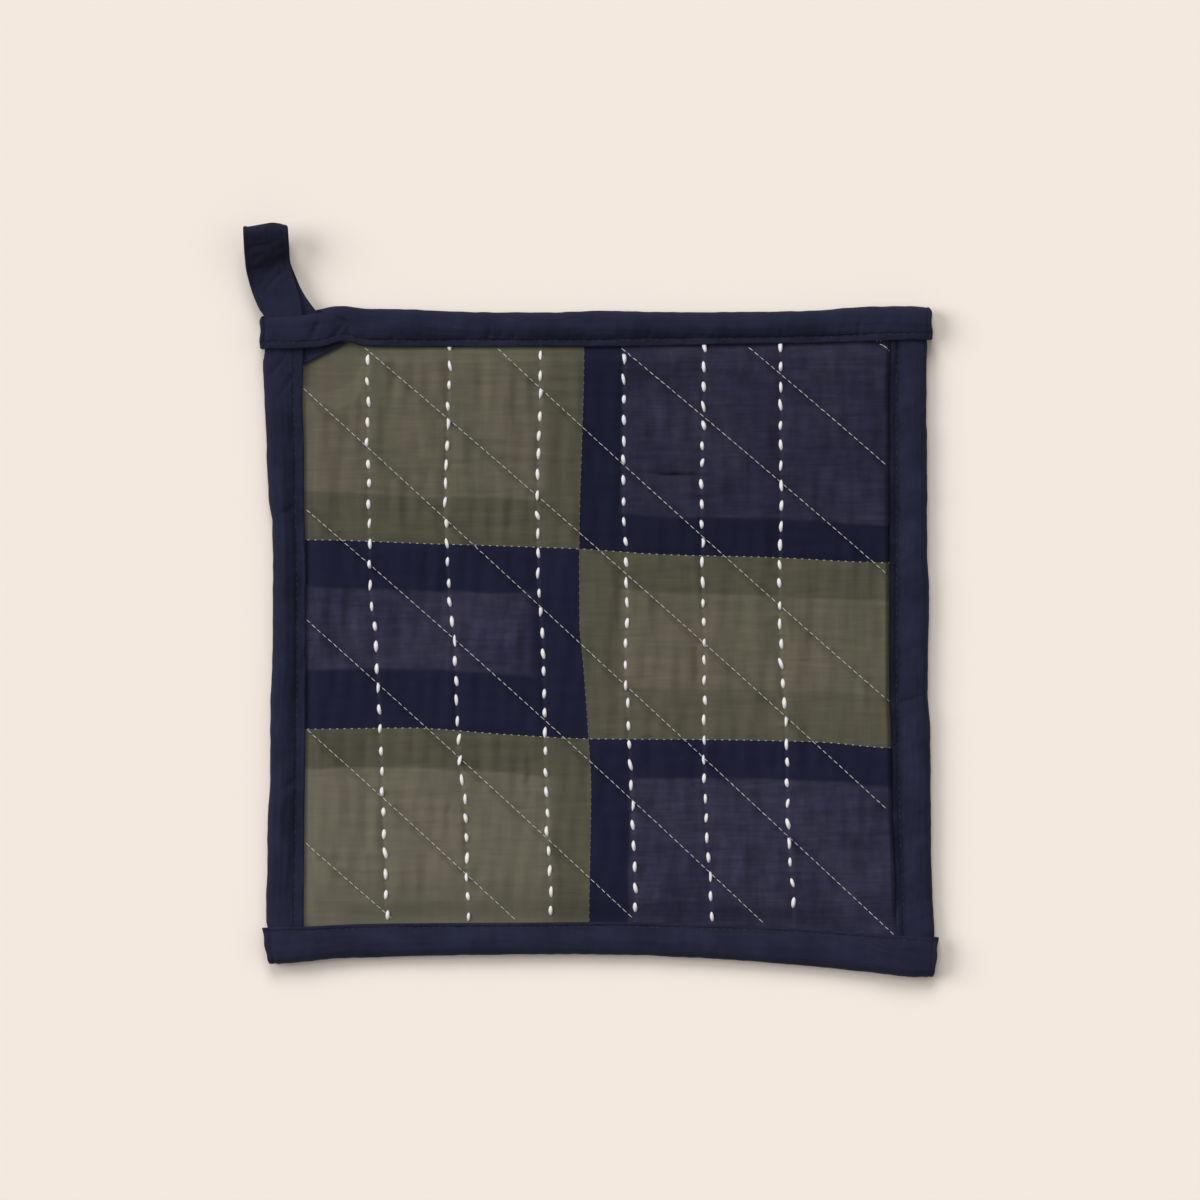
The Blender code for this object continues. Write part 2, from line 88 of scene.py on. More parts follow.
# Depth and reach of the troughs along the quilting lines, the hand stitches and the seams
FACE_TROUGHS = ((1.45, 4.4), (0.95, 3.4), (0.42, 1.7), (0.42, 1.7))
BACK_TROUGHS = ((0.62, 2.6), (0.45, 2.2), (0.40, 2.0))
# Under the loop's sewn end the panel stays below a height, which rises again beyond the strip's edge
TAB_TOP_LIMIT = 3.8
TAB_REACH = 5.2
TAB_SLOPE = 0.42

# Opening in the fold of the top binding
SLOT_X = (-112.5, -92.6)
SLOT_Y = (104.4, 111.0)
SLOT_Z = (3.6, 6.7)

# Stitches
MACHINE_PITCH = 2.42
MACHINE_STITCH = (2.1, 0.21, 0.2)  # length, width, height
HAND_STITCH = (3.95, 1.34, 1.0)
SEAM_STITCH = (0.95, 0.30, 0.26)
DOWN_SEAM_STITCH = (0.8, 0.24, 0.2)
BACK_HAND_STITCH = (2.9, 1.2, 0.45)
DIMPLE = (0.35, 0.8)  # depth and reach of the dip where a hand stitch enters the cloth
LOOSE_ENDS = [
    [(93.2, 97.2), (94.4, 96.7), (95.4, 95.9), (96.4, 94.9)],
    [(92.0, 98.2), (92.9, 98.6), (93.6, 98.2)],
    [(-75.9, 96.9), (-74.8, 96.6), (-73.7, 96.9)],
]
# Height of the first stitch of each row of hand stitches, and the pitch down the row
HAND_STARTS = [(92.0, 6.85), (96.4, 6.55), (93.3, 6.60), (92.0, 6.75), (96.2, 6.54), (96.4, 6.60)]
LAST_HAND_STITCH = -94.8
HALF_HAND_PITCH = 3.3
STITCH_SINK = 0.02  # how far a machine stitch's ends lie in the cloth

# Points round the binding's section, and the steps that round its turned-in end: depth and share of height
UNDER_POINTS, FOLD_POINTS, FACE_POINTS, EDGE_POINTS = 8, 13, 28, 3
INSIDE_EVERY = 4  # the hidden inside of a binding keeps every fourth point of its skin
END_STEPS = [(0.75, 0.14), (0.25, 0.18), (0.02, 0.32), (0.0, 0.6), (0.06, 0.84), (0.25, 0.95), (0.6, 1.0)]
CORNER_CUT = 0.9  # how far the outer corner of a turned-in end is drawn back
# Where the turned-in fold shows at an end, its depth, and the step down to the layer outside it
NO_TUCK, PLAIN_END = (0.0, 0.0, 0.0), (1.3, 0.28, 0.0)
FOLDED_END, LEDGE_END = (1.8, 0.5, 0.25), (2.3, 0.35, 0.35)

LOOP_STATIONS, LOOP_FACE_POINTS, LOOP_EDGE_POINTS = 240, 29, 7
LOOP_STITCH = 1.7
LOOP_PAINTED_SHADE = 0.30  # how much painted shade darkens the fold at the loop's tip, which rises away from the light

# Cloth and thread
YARN = 0.42
NAVY = (0.0148, 0.0160, 0.0368)
OLIVE_LIGHT = (0.101, 0.094, 0.067)
OLIVE_GREEN = (0.093, 0.091, 0.063)
OLIVE_BAND = (0.073, 0.069, 0.048)
OLIVE_WARM = (0.111, 0.098, 0.072)
NAVY_GREY = (0.0212, 0.0204, 0.0450)
NAVY_PALE = (0.0305, 0.0298, 0.0555)
NAVY_BAND = (0.0095, 0.0104, 0.0290)
# What tints the lower left patch, its outer corner and the upper right patch
FADED, WORN, DEEP_NAVY = (0.22, 0.20, 0.16), (0.20, 0.185, 0.14), (0.0, 0.0, 0.004)
BLACK = (0.0, 0.0, 0.0)
# Sizes of the grain in the olive cloth, how rough it is, and how much lighter and darker it makes the cloth
OLIVE_STREAKS = (
    ((5.5, 60.0, 60.0), 0.55, 0.09),
    ((1.5, 34.0, 34.0), 0.6, 0.025),
    ((22.0, 1.1, 22.0), 0.6, 0.07),
)
THREAD = (0.80, 0.775, 0.78)
MACHINE_THREAD = (0.72, 0.70, 0.70)
SEAM_THREAD = (0.42, 0.40, 0.36)
DIM_THREAD = (0.17, 0.16, 0.13)
DARK_THREAD = (0.009, 0.010, 0.022)
FLOOR_TONE = (0.855, 0.78, 0.715)

SKY = 0.20
SKY_TONE = (1.0, 0.95, 0.9)
# Each light: azimuth and height in degrees, spread in degrees, watts per square metre on the surface
SUNS = [
    ("from_left", 166, 39, 40, 1.24),
    ("from_top", 95, 44, 30, 1.10),
    ("from_right", 15, 55, 50, 0.34),
]


def named(columns, rows):
    """A table's rows with their columns named."""
    return [columns(*row) for row in rows]


Band = namedtuple("Band", "along lean outer inner base top sink")
TOP = named(Band, [
    (-113.2, 0, 106.7, 95.6, 0, 8.1, 0),
    (-104, 0, 107.3, 95.6, 0, 8.1, 0),
    (-98, 0, 107.7, 95.7, 0, 8, 0),
    (-94, 0, 108.8, 96, 0, 7.6, 0),
    (-85, 0, 109.9, 98, 0, 6.6, 0.2),
    (-78, 0, 109, 96.4, 0, 6.1, 0.7),
    (-63, 0, 108.8, 96.2, 0, 5.6, 1.5),
    (-48, 0, 108.1, 96.3, 0, 5.9, 1.8),
    (-17, 0, 107.8, 96.3, 0, 6, 1.9),
    (0, 0, 108.3, 96.4, 0, 5.9, 1.9),
    (30, 0, 107.9, 96.9, 0, 6, 1.9),
    (66, 0, 108.2, 97.4, 0, 5.9, 1.8),
    (86, 0, 109.5, 98, 0, 6.2, 0.9),
    (95.5, 0, 109.8, 98.4, 0, 7.1, 0),
    (102, 0, 109.9, 98.5, 0, 7.1, 0),
    (110.4, 0.3, 109.5, 98.7, 0, 7.1, 0),
])
BOTTOM = named(Band, [
    (-110.6, -1.9, -109.4, -97.2, 0, 7.1, 0),
    (-104, 0, -109.1, -96.8, 0, 7.1, 0),
    (-97, 0, -108.3, -96.6, 0, 7.1, 0),
    (-88, 0, -107.4, -96.2, 0, 6.2, 0.7),
    (-76, 0, -107, -95.8, 0, 5.6, 1.5),
    (-56, 0, -106.5, -95.6, 0, 5.9, 1.8),
    (-20, 0, -106, -95.4, 0, 6, 1.9),
    (5, 0, -106.1, -95.2, 0, 5.9, 1.9),
    (30, 0, -107.1, -95.8, 0, 5.9, 1.9),
    (50, 0, -108.3, -96.4, 0, 6, 1.9),
    (68, 0, -109.8, -97.4, 0, 5.9, 1.7),
    (86, 0, -111.6, -98.7, 0, 6.2, 0.8),
    (97, 0, -112.8, -99.5, 0, 7.1, 0),
    (106, 0, -113.5, -100.1, 0, 7.1, 0),
    (111.5, 1.2, -113.5, -100.3, 0, 7.1, 0),
])
LEFT = named(Band, [
    (-105, 0, -109.3, -98.8, 1.3, 5.4, 0),
    (-97.2, 0, -110.7, -98.7, 1.3, 5.4, 0),
    (-94.5, 0, -111.3, -98.7, 1.3, 5.4, 0),
    (-79, 0, -110.9, -98.6, 0, 5.6, 1.5),
    (-60, 0, -110.6, -98.5, 0, 5.9, 1.9),
    (-48, 0, -109.9, -98.3, 0, 6, 1.9),
    (-22, 0, -109.8, -98.1, 0, 5.9, 1.9),
    (-10, 0, -109.2, -98, 0, 5.9, 1.9),
    (20, 0, -108.9, -98, 0, 6, 1.9),
    (38, 0, -109.2, -98.4, 0, 5.9, 1.9),
    (46, 0, -110.4, -98.6, 0, 5.9, 1.9),
    (62, 0, -111, -98.6, 0, 5.9, 1.7),
    (78, 0, -111.7, -99.1, 0, 5.8, 0.7),
    (91, 0, -112.2, -98.8, 1.2, 6.3, 0),
    (94.6, 0, -111.7, -98.7, 1.3, 6.4, 0),
    (104, 0, -111.5, -98.7, 1.3, 6.4, 0),
])
RIGHT = named(Band, [
    (-109, 0, 109.8, 98.9, 1.3, 5.4, 0),
    (-99.5, 0, 111.3, 98.9, 1.3, 5.4, 0),
    (-96.5, 0, 111.2, 98.8, 1.3, 5.4, 0),
    (-82, 0, 110.5, 98.4, 0, 5.6, 1.4),
    (-60, 0, 110.2, 97.5, 0, 5.9, 1.9),
    (-32, 0, 110.1, 97, 0, 6, 1.9),
    (-18, 0, 109.2, 96.4, 0, 5.9, 1.9),
    (14, 0, 109.6, 96.4, 0, 6, 1.9),
    (30, 0, 108.9, 96.4, 0, 5.9, 1.9),
    (60, 0, 108.9, 96.4, 0, 5.9, 1.9),
    (83, 0, 108.7, 96.3, 0, 5.6, 1.3),
    (96.5, 0, 108.9, 96.9, 1.3, 5.4, 0),
    (106.4, 0, 108.6, 97, 1.3, 5.4, 0),
])

# Creases in the face of the panel, and dents in the bindings: both ends, share of the depth, and reach
CREASE_DEPTH, DENT_DEPTH = 2.1, 1.6
Crease = namedtuple("Crease", "x0 y0 x1 y1 depth reach")
CREASES = named(Crease, [
    (-79.4, 90, -79.2, 63, 0.3, 1.1),
    (-68, 93, -68.4, 79, 0.26, 1),
    (-69.2, 51, -69, 35, 0.36, 1.1),
    (-61.2, 66, -55.2, 47.5, 0.32, 1.2),
    (-44.4, 87, -44.6, 70, 0.24, 1.3),
    (-30, 44, -30, 35, 0.26, 0.9),
    (-86, 46, -84.6, 36, 0.22, 1.1),
    (-22, 90, -21.8, 71, 0.18, 1.1),
    (-83.6, 29, -83, -2, 0.34, 1.2),
    (-70.4, 29, -70.2, 19, 0.26, 0.9),
    (-57.4, 28, -57.6, 12, 0.38, 1.2),
    (-52.2, 14, -51.6, -10, 0.3, 1.1),
    (-29.4, 28, -29.2, 22, 0.26, 0.9),
    (-24.8, 6.5, -24.6, -10, 0.48, 1.1),
    (-33.4, -16, -33.2, -29, 0.26, 0.9),
    (-77.8, -33.5, -77.4, -44, 0.42, 1),
    (-23.4, -37, -23.2, -56.5, 0.5, 1),
    (-50.4, -53, -50.6, -68, 0.34, 1.1),
    (-33.4, -32, -33, -39, 0.24, 0.9),
    (-77.4, -57, -77, -73, 0.3, 1.1),
    (-39, -73, -40.6, -84, 0.26, 1.5),
    (-63, -78, -62.6, -94, 0.24, 1.1),
    (6.6, 20, 6.4, -21, 0.22, 1.2),
    (32.6, 5, 32.6, -21, 0.26, 1.1),
    (29.6, 25, 30.6, 15.5, 0.32, 1.2),
    (56.4, 17, 56.8, -1, 0.2, 1.2),
    (17.2, -35, 17, -46.5, 0.4, 1),
    (32.4, -35, 33, -88, 0.2, 1.1),
    (59, -35, 58.8, -48, 0.4, 1),
    (18, -81, 17.8, -95, 0.32, 1),
    (81.6, -90, 81.8, -98, 0.5, 0.9),
    (17, 53.8, 33, 53.4, 0.75, 0.36),
    (27.6, 46.4, 38.4, 46.2, 0.3, 0.7),
    (84, -74, 96, -86, 0.2, 1.4),
    (72, 88, 90, 84, 0.14, 1.6),
])
LOOP_CREASES = named(Crease, [
    (-119, 120.5, -102.5, 126.2, 0.28, 1.5),
    (-119.5, 128.5, -108, 131, 0.2, 0.9),
    (-113, 113, -106, 121, 0.2, 0.8),
    (-104, 118.5, -101, 111, 0.2, 0.6),
])
DENTS = named(Crease, [
    (-37.2, 96.4, -36.2, 104, 0.3, 1),
    (-33.4, 96.8, -32.4, 103, 0.24, 0.9),
    (-28.6, 96.6, -29.2, 102, 0.2, 0.9),
    (-58, 97, -60, 103, 0.18, 1),
    (15.4, 97.4, 17.2, 104.6, 0.32, 1),
    (35, 97.4, 34.4, 101.6, 0.26, 0.9),
    (60.4, 97.8, 61.2, 104.2, 0.2, 0.9),
    (86, 98.6, 87.2, 105.2, 0.22, 0.9),
    (-88, 106.5, -86.2, 104.2, 0.35, 0.6),
    (-87, 105.6, -83.4, 103.8, 0.45, 0.9),
    (-85, 104.6, -90, 97.5, 0.28, 0.9),
    (-84.6, 104.4, -82, 99, 0.2, 0.9),
    (-93, 106, -96.5, 97, 0.22, 1),
    (-104.5, 93.5, -110, 86, 0.3, 1),
    (-101, 88, -106.5, 80, 0.22, 1),
    (98.2, -23, 106.8, -19.6, 0.34, 0.9),
    (98, 20, 104, 26, 0.16, 1),
    (-100.5, 44, -108, 39, 0.26, 1.2),
    (-100, -46, -107, -52, 0.16, 1.2),
    (-40, 98, -44, 106, 0.14, 1.2),
    (60, -98, 66, -108, 0.18, 1.2),
    (22, -97, 18, -105, 0.14, 1.2),
    (88, -101, 90, -110, 0.2, 1),
])

Slant = namedtuple("Slant", "x0 y0 x1 y1 bow")
SLANTS = named(Slant, [
    (49.3, 96.3, 96, 56.3, 0.2),
    (7, 96, 96.3, 20, 0.4),
    (-34.3, 96, 96.2, -21.7, -0.8),
    (-78.7, 96.3, 97.3, -59.3, 1.3),
    (-99, 82.7, 97.7, -99.3, 0.3),
    (-98, 42.3, 55.2, -96.3, 1.3),
    (-98, 5.7, 11.7, -94.7, 0.5),
    (-97.7, -31, -28.7, -94, 0.3),
    (-98.3, -68.7, -69, -94.3, 0),
])

Rows = namedtuple("Rows", "y first second third fourth fifth sixth")
HAND_ROWS = named(Rows, [
    (-95, -71, -44, -16.3, 11.8, 37.2, 64.5),
    (-60, -72, -44.8, -17.5, 11, 35.2, 62.5),
    (-35, -73, -47.2, -18.3, 9.7, 34.7, 62),
    (-5, -74.3, -48.3, -18.8, 8.5, 35, 60.3),
    (15, -76.2, -50.3, -20.3, 9, 34.2, 59.8),
    (45, -77, -51.3, -20.7, 7.7, 33.8, 60.3),
    (95, -77.2, -50, -19.7, 8, 34.7, 60.2),
])

# Each seam as places along it and how far aside it lies there
DOWN_SEAM = [(-96.0, -3.6), (-51.0, -3.0), (-34.0, -3.8), (-8.0, -5.7), (4.0, -6.8)]
DOWN_SEAM += [(29.0, -6.9), (96.0, -5.3)]
UPPER_SEAM = [(-98.0, 32.0), (-56.0, 30.7), (-7.0, 29.0), (21.0, 27.1), (56.0, 26.2), (97.0, 24.4)]
LOWER_SEAM = [(-98.0, -31.0), (-64.0, -30.6), (-31.0, -32.8), (-4.0, -34.2), (37.0, -34.5)]
LOWER_SEAM += [(73.0, -35.3), (97.5, -37.2)]

Strip = namedtuple("Strip", "x y z turn width")
LOOP = named(Strip, [
    (-91.8, 94, 4.6, 26, 15.2),
    (-96.3, 99.3, 4.6, 31, 15.2),
    (-101.4, 104.9, 4.6, 33, 15.2),
    (-105.3, 110.5, 4.5, 30, 15.2),
    (-108.2, 116.7, 2.3, 22, 15.2),
    (-110.6, 123.5, 0.95, 13, 15.2),
    (-111, 128.6, 1.1, 7, 15.2),
    (-111.2, 132.8, 3.3, 5, 15.2),
    (-111.2, 135.6, 7.8, 4.3, 15.1),
    (-111.2, 136.3, 11.6, 4.3, 15.1),
    (-111.1, 134.8, 13.6, 4.3, 15.1),
    (-111, 131.8, 13, 5.5, 15.1),
    (-110.8, 127.8, 10.5, 11, 15.2),
    (-110.4, 123.4, 8, 17, 15.2),
    (-109.4, 118.8, 6.8, 18, 15),
    (-108, 114.2, 6.3, 18, 14.6),
    (-106.6, 110.4, 6, 15, 14),
    (-105.6, 107.6, 5.9, 7, 13.2),
    (-105.2, 105.5, 5.9, 2, 12.9),
])


def cubic(values, slope, step, k, t):
    """Share t of the k-th span of a curve through values, as long as step, with the given slopes."""
    return (
        values[k] * (1 + 2 * t) * (1 - t) ** 2
        + slope[k] * step * t * (1 - t) ** 2
        + values[k + 1] * t * t * (3 - 2 * t)
        + slope[k + 1] * step * t * t * (t - 1)
    )


def between(places, values, at):
    """Cubic through the given values that never overshoots them, held level past both ends."""
    places, values, at = (np.asarray(each, float) for each in (places, values, at))
    step = np.diff(places)
    rise = np.diff(values) / step
    before, after = rise[:-1], rise[1:]
    same_way = before * after > 0
    total = np.where(same_way, before + after, 1.0)
    slope = np.zeros(len(places))
    slope[1:-1] = np.where(same_way, 2 * before * after / total, 0.0)
    k = np.clip(np.searchsorted(places, at, side="right") - 1, 0, len(step) - 1)
    t = np.clip((at - places[k]) / step[k], 0, 1)
    return cubic(values, slope, step[k], k, t)


def of_band(band, column, along):
    """One column of a binding's table at any place along it."""
    return between([row.along for row in band], [getattr(row, column) for row in band], along)


def ramp(value, low, high):
    """Smooth step from 0 at low to 1 at high."""
    t = np.clip((value - low) / (high - low), 0, 1)
    return t * t * (3 - 2 * t)


def hump(value, reach):
    """Bell curve: 1 where the value is 0, and nearly 0 at twice the reach."""
    return np.exp(-((value / reach) ** 2))


def waves(x, y, seed, long_x, long_y, count=14):
    """Uneven lie of cloth, about -1 to 1: a sum of sines whose wavelengths scatter around the given
    ones."""
    rng = np.random.default_rng(seed)
    total = np.zeros(np.broadcast(x, y).shape)
    for _ in range(count):
        kx = rng.normal() / long_x
        ky = rng.normal() / long_y
        total = total + np.sin(2 * math.pi * (kx * x + ky * y) + rng.uniform(0, 2 * math.pi))
    return total / math.sqrt(count)


def distance_to_segment(x, y, start, end):
    """How far each point lies from a straight line in the plane."""
    run = np.subtract(end, start)
    share = np.clip(((x - start[0]) * run[0] + (y - start[1]) * run[1]) / (run @ run), 0, 1)
    return np.hypot(x - start[0] - share * run[0], y - start[1] - share * run[1])


def slant_route(slant, share):
    """Points along a quilting line: a straight run that bows sideways in its middle."""
    run = np.array([slant.x1 - slant.x0, slant.y1 - slant.y0])
    length = np.hypot(*run)
    side = np.array([-run[1], run[0]]) / length
    bow = slant.bow * 4 * share * (1 - share)
    return slant.x0 + run[0] * share + side[0] * bow, slant.y0 + run[1] * share + side[1] * bow


def slant_distance(x, y, slant):
    """How far each point lies from a bowed quilting line, and how far to the line's upper right."""
    run = np.array([slant.x1 - slant.x0, slant.y1 - slant.y0])
    length = np.hypot(*run)
    share = ((x - slant.x0) * run[0] + (y - slant.y0) * run[1]) / length**2
    aside = ((y - slant.y0) * run[0] - (x - slant.x0) * run[1]) / length
    inside = np.clip(share, 0, 1)
    aside = aside - slant.bow * 4 * inside * (1 - inside)
    return np.hypot(aside, (share - inside) * length), aside


def slants_distance(x, y):
    """How far each point lies from the nearest quilting line."""
    return np.min([slant_distance(x, y, slant)[0] for slant in SLANTS], axis=0)


def slant_lips(x, y):
    """Where the cloth folds at a quilting line: a narrow groove on its lower left, a low lip on its upper
    right."""
    total = np.zeros(np.shape(x))
    for slant in SLANTS:
        distance, aside = slant_distance(x, y, slant)
        fold = 0.95 * hump(aside + 0.85, 0.5) - 0.24 * hump(aside - 2.2, 1.5)
        total = total + fold * (distance - np.abs(aside) < 0.01)
    return total


def hand_routes(y):
    """Where each row of hand stitches lies at the given heights."""
    heights = [row.y for row in HAND_ROWS]
    return [between(heights, [row[1 + n] for row in HAND_ROWS], y) for n in range(6)]


def down_seam(y):
    return between(*zip(*DOWN_SEAM), y)


def upper_seam(x):
    return between(*zip(*UPPER_SEAM), x)


def lower_seam(x):
    return between(*zip(*LOWER_SEAM), x)


def hand_distance(x, y):
    """How far each point lies from the nearest row of hand stitches."""
    return np.min([np.abs(x - route) for route in hand_routes(y)], axis=0)


def level_distance(x, y):
    """How far each point lies from the nearer of the two level seams."""
    return np.minimum(np.abs(y - upper_seam(x)), np.abs(y - lower_seam(x)))


def inside_edges(x, y):
    """Distance inwards from the stitched edge of each binding: left, right, bottom, top."""
    return (
        x - of_band(LEFT, "inner", y),
        of_band(RIGHT, "inner", y) - x,
        y - of_band(BOTTOM, "inner", x),
        of_band(TOP, "inner", x) - y,
    )


def pressed_heights(x, y):
    """Underside and top of the panel where the bindings hold it."""
    bottom, top = np.full(x.shape, RIM_BOTTOM), np.full(x.shape, RIM_TOP)
    sides = zip(inside_edges(x, y), (LEFT, RIGHT, BOTTOM, TOP), (y, y, x, x), FREED)
    for inward, band, along, freed in sides:
        held = 1 - ramp(inward, *freed)
        low = of_band(band, "base", along) + CLOTH + GAP
        high = of_band(band, "top", along) - of_band(band, "sink", along) - CLOTH - GAP
        bottom = np.maximum(bottom, RIM_BOTTOM + held * (low - RIM_BOTTOM))
        top = np.minimum(top, RIM_TOP + held * (high - RIM_TOP))
    return bottom, top


def valley(distance, depth, reach):
    """A stitched line's trough: a soft V that opens out into the filling."""
    d = np.sqrt(distance**2 + 0.35**2)
    return depth * (0.5 * np.exp(-d / (0.45 * reach)) + 0.5 * hump(d, reach))


def creased(x, y, creases, widen=1.0):
    """Depth of the listed creases at each point: an unsteady groove with one steep and one soft side that
    tapers out at both ends."""
    depth = np.zeros(np.shape(x))
    unsteady = 0.3 * waves(x, y, 71, 7, 7)
    for crease in creases:
        run = np.array([crease.x1 - crease.x0, crease.y1 - crease.y0])
        share = ((x - crease.x0) * run[0] + (y - crease.y0) * run[1]) / (run @ run)
        aside = ((y - crease.y0) * run[0] - (x - crease.x0) * run[1]) / np.hypot(*run) + unsteady
        taper = np.exp(-(((share - 0.5) * 2.1) ** 2))
        reach = widen * crease.reach * np.where(aside * np.sign(run[0] - run[1]) > 0, 0.7, 1.2)
        depth = np.maximum(depth, crease.depth * taper * hump(aside, reach))
    return depth


def hand_places():
    """Middles of the hand stitches, half lengths and leans, row by row down the panel."""
    rng = np.random.default_rng(8)
    x, y, half, lean = [], [], [], []
    for n, (first, pitch) in enumerate(HAND_STARTS):
        at = np.arange(first, LAST_HAND_STITCH, -pitch)
        at = at + np.concatenate([[0], rng.normal(0, 0.28, len(at) - 1)])
        x.append(hand_routes(at)[n] + rng.normal(0, 0.15, len(at)))
        y.append(at)
        half.append(HAND_STITCH[0] / 2 * rng.uniform(0.8, 1.12, len(at)))
        lean.append(rng.normal(3, 6, len(at)))
    return [np.concatenate(each) for each in (x, y, half, lean)]


def stitch_ends(x, y, half, turn):
    """Where both ends of each stitch lie in the plane: its middle, half its length and where it points."""
    return [(x + sign * half * np.cos(turn), y + sign * half * np.sin(turn)) for sign in (-1, 1)]


def dimples(x, y):
    """Small dips at both ends of every hand stitch."""
    depth, reach = DIMPLE
    total = np.zeros(np.shape(x))
    px, py, half, lean = hand_places()
    for end in stitch_ends(px, py, half, np.radians(90 + lean)):
        for ex, ey in zip(*end):
            total = np.maximum(total, depth * np.exp(-((x - ex) ** 2 + (y - ey) ** 2) / reach**2))
    return total


def quilting(x, y):
    """How deep the stitched lines draw the face down, with the small puckers across each line."""
    slanted = slants_distance(x, y)
    along = (x * 0.76 - y * 0.65) * 2 * math.pi / (2.0 * MACHINE_PITCH)
    pucker = 0.07 * np.sin(along + 1.5 * waves(x, y, 5, 40, 40)) * np.exp(-slanted / 2.2)
    lines = (slanted, hand_distance(x, y), np.abs(x - down_seam(y)), level_distance(x, y))
    troughs = [valley(distance, *trough) for distance, trough in zip(lines, FACE_TROUGHS)]
    return np.max(troughs, axis=0) + slant_lips(x, y) + pucker


def face_height(x, y):
    """Top of the panel: pressed at the rim, filled further in, drawn down along the stitching, with long
    upright folds, finer ones, and a few level ones."""
    rises = zip(inside_edges(x, y), RISES)
    lifts = [ramp(inward, RIM_FLAT, RIM_FLAT + rise) for inward, rise in rises]
    rim = pressed_heights(x, y)[1]
    lie = 0.25 * np.sin(x / 17.0 + 0.6) * np.cos(y / 21.0 - 0.4)
    folds = 0.34 * waves(x, y, 11, 11, 50)
    folds = folds + 0.035 * waves(x, y, 12, 5, 18) + 0.09 * waves(x, y, 13, 30, 7)
    drawn = quilting(x, y) + CREASE_DEPTH * creased(x, y, CREASES, 1.45) + dimples(x, y)
    filled = rim + np.prod(lifts, axis=0) * (PUFF + lie + folds - drawn)
    from_tab = distance_to_segment(x, y, (LOOP[0].x, LOOP[0].y), (LOOP[2].x, LOOP[2].y))
    clear = from_tab - LOOP[0].width / 2 - TAB_REACH
    return np.minimum(filled, TAB_TOP_LIMIT + np.maximum(clear, 0) * TAB_SLOPE)


def back_height(x, y):
    """Underside of the panel: flat on the surface, with shallow channels along every stitched line, rising
    into the bindings."""
    inward = np.min(inside_edges(x, y), axis=0)
    seams = np.minimum(np.abs(x - down_seam(y)), level_distance(x, y))
    lines = (slants_distance(x, y), hand_distance(x, y), seams)
    troughs = [depth * hump(distance, reach) for distance, (depth, reach) in zip(lines, BACK_TROUGHS)]
    pressed = pressed_heights(x, y)[0]
    return pressed * (1 - ramp(inward, 0, UNDER_RISE)) + np.max(troughs, axis=0) * ramp(inward, 2, 8)


def corner(side, level):
    """Where the raw edges of the panel meet, between a side binding and a level one."""
    sx, sy = (1 if side is LEFT else -1) * PANEL_INSET, (1 if level is BOTTOM else -1) * PANEL_INSET
    x, y = side[len(side) // 2].outer + sx, level[0].outer + sy
    for _ in range(8):
        x, y = float(of_band(side, "outer", y)) + sx, float(of_band(level, "outer", x)) + sy
    return np.array([x, y])


def panel_plan(lines):
    """Grid of the panel in plan, blended between its four raw edges."""
    corners = {(i, j): corner((LEFT, RIGHT)[i], (BOTTOM, TOP)[j]) for i in (0, 1) for j in (0, 1)}
    u, v = np.meshgrid(np.linspace(0, 1, lines), np.linspace(0, 1, lines), indexing="ij")

    def line(a, b, t):
        return a[:, None, None] * (1 - t) + b[:, None, None] * t

    low, high = line(corners[0, 0], corners[1, 0], u), line(corners[0, 1], corners[1, 1], u)
    left, right = line(corners[0, 0], corners[0, 1], v), line(corners[1, 0], corners[1, 1], v)
    low[1] = of_band(BOTTOM, "outer", low[0]) + PANEL_INSET
    high[1] = of_band(TOP, "outer", high[0]) - PANEL_INSET
    left[0] = of_band(LEFT, "outer", left[1]) + PANEL_INSET
    right[0] = of_band(RIGHT, "outer", right[1]) - PANEL_INSET
    straight = (1 - v) * line(corners[0, 0], corners[1, 0], u) + v * line(corners[0, 1], corners[1, 1], u)
    return (1 - v) * low + v * high + (1 - u) * left + u * right - straight


def add(name, data):
    """A new object in the scene, at the origin."""
    made = bpy.data.objects.new(name, data)
    bpy.context.scene.collection.objects.link(made)
    return made


def mesh_piece(name, points, faces, looks, face_looks=None, attributes=()):
    """A finished piece from points in millimetres and rows of corner numbers, riding on the body."""
    mesh = bpy.data.meshes.new(name)
    mesh.from_pydata((np.asarray(points) * MM).tolist(), [], [list(f) for f in faces])
    mesh.validate()
    for look in looks:
        mesh.materials.append(look)
    if face_looks is not None:
        mesh.polygons.foreach_set("material_index", np.asarray(face_looks, np.int32))
    for label, values in attributes:
        layer = mesh.attributes.new(label, "FLOAT", "POINT")
        layer.data.foreach_set("value", np.asarray(values, np.float32))
    mesh.shade_smooth()
    mesh.update()
    made = add(name, mesh)
    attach(made, "root")
    return made


def grid_faces(rows, columns, first=0, around=False):
    """Quads over a grid of numbered points, closed across its columns if around is set."""
    index = first + np.arange(rows * columns).reshape(rows, columns)
    if around:
        index = np.concatenate([index, index[:, :1]], axis=1)
    a, b, c, d = index[:-1, :-1], index[1:, :-1], index[1:, 1:], index[:-1, 1:]
    return np.stack([a, b, c, d], axis=-1).reshape(-1, 4)


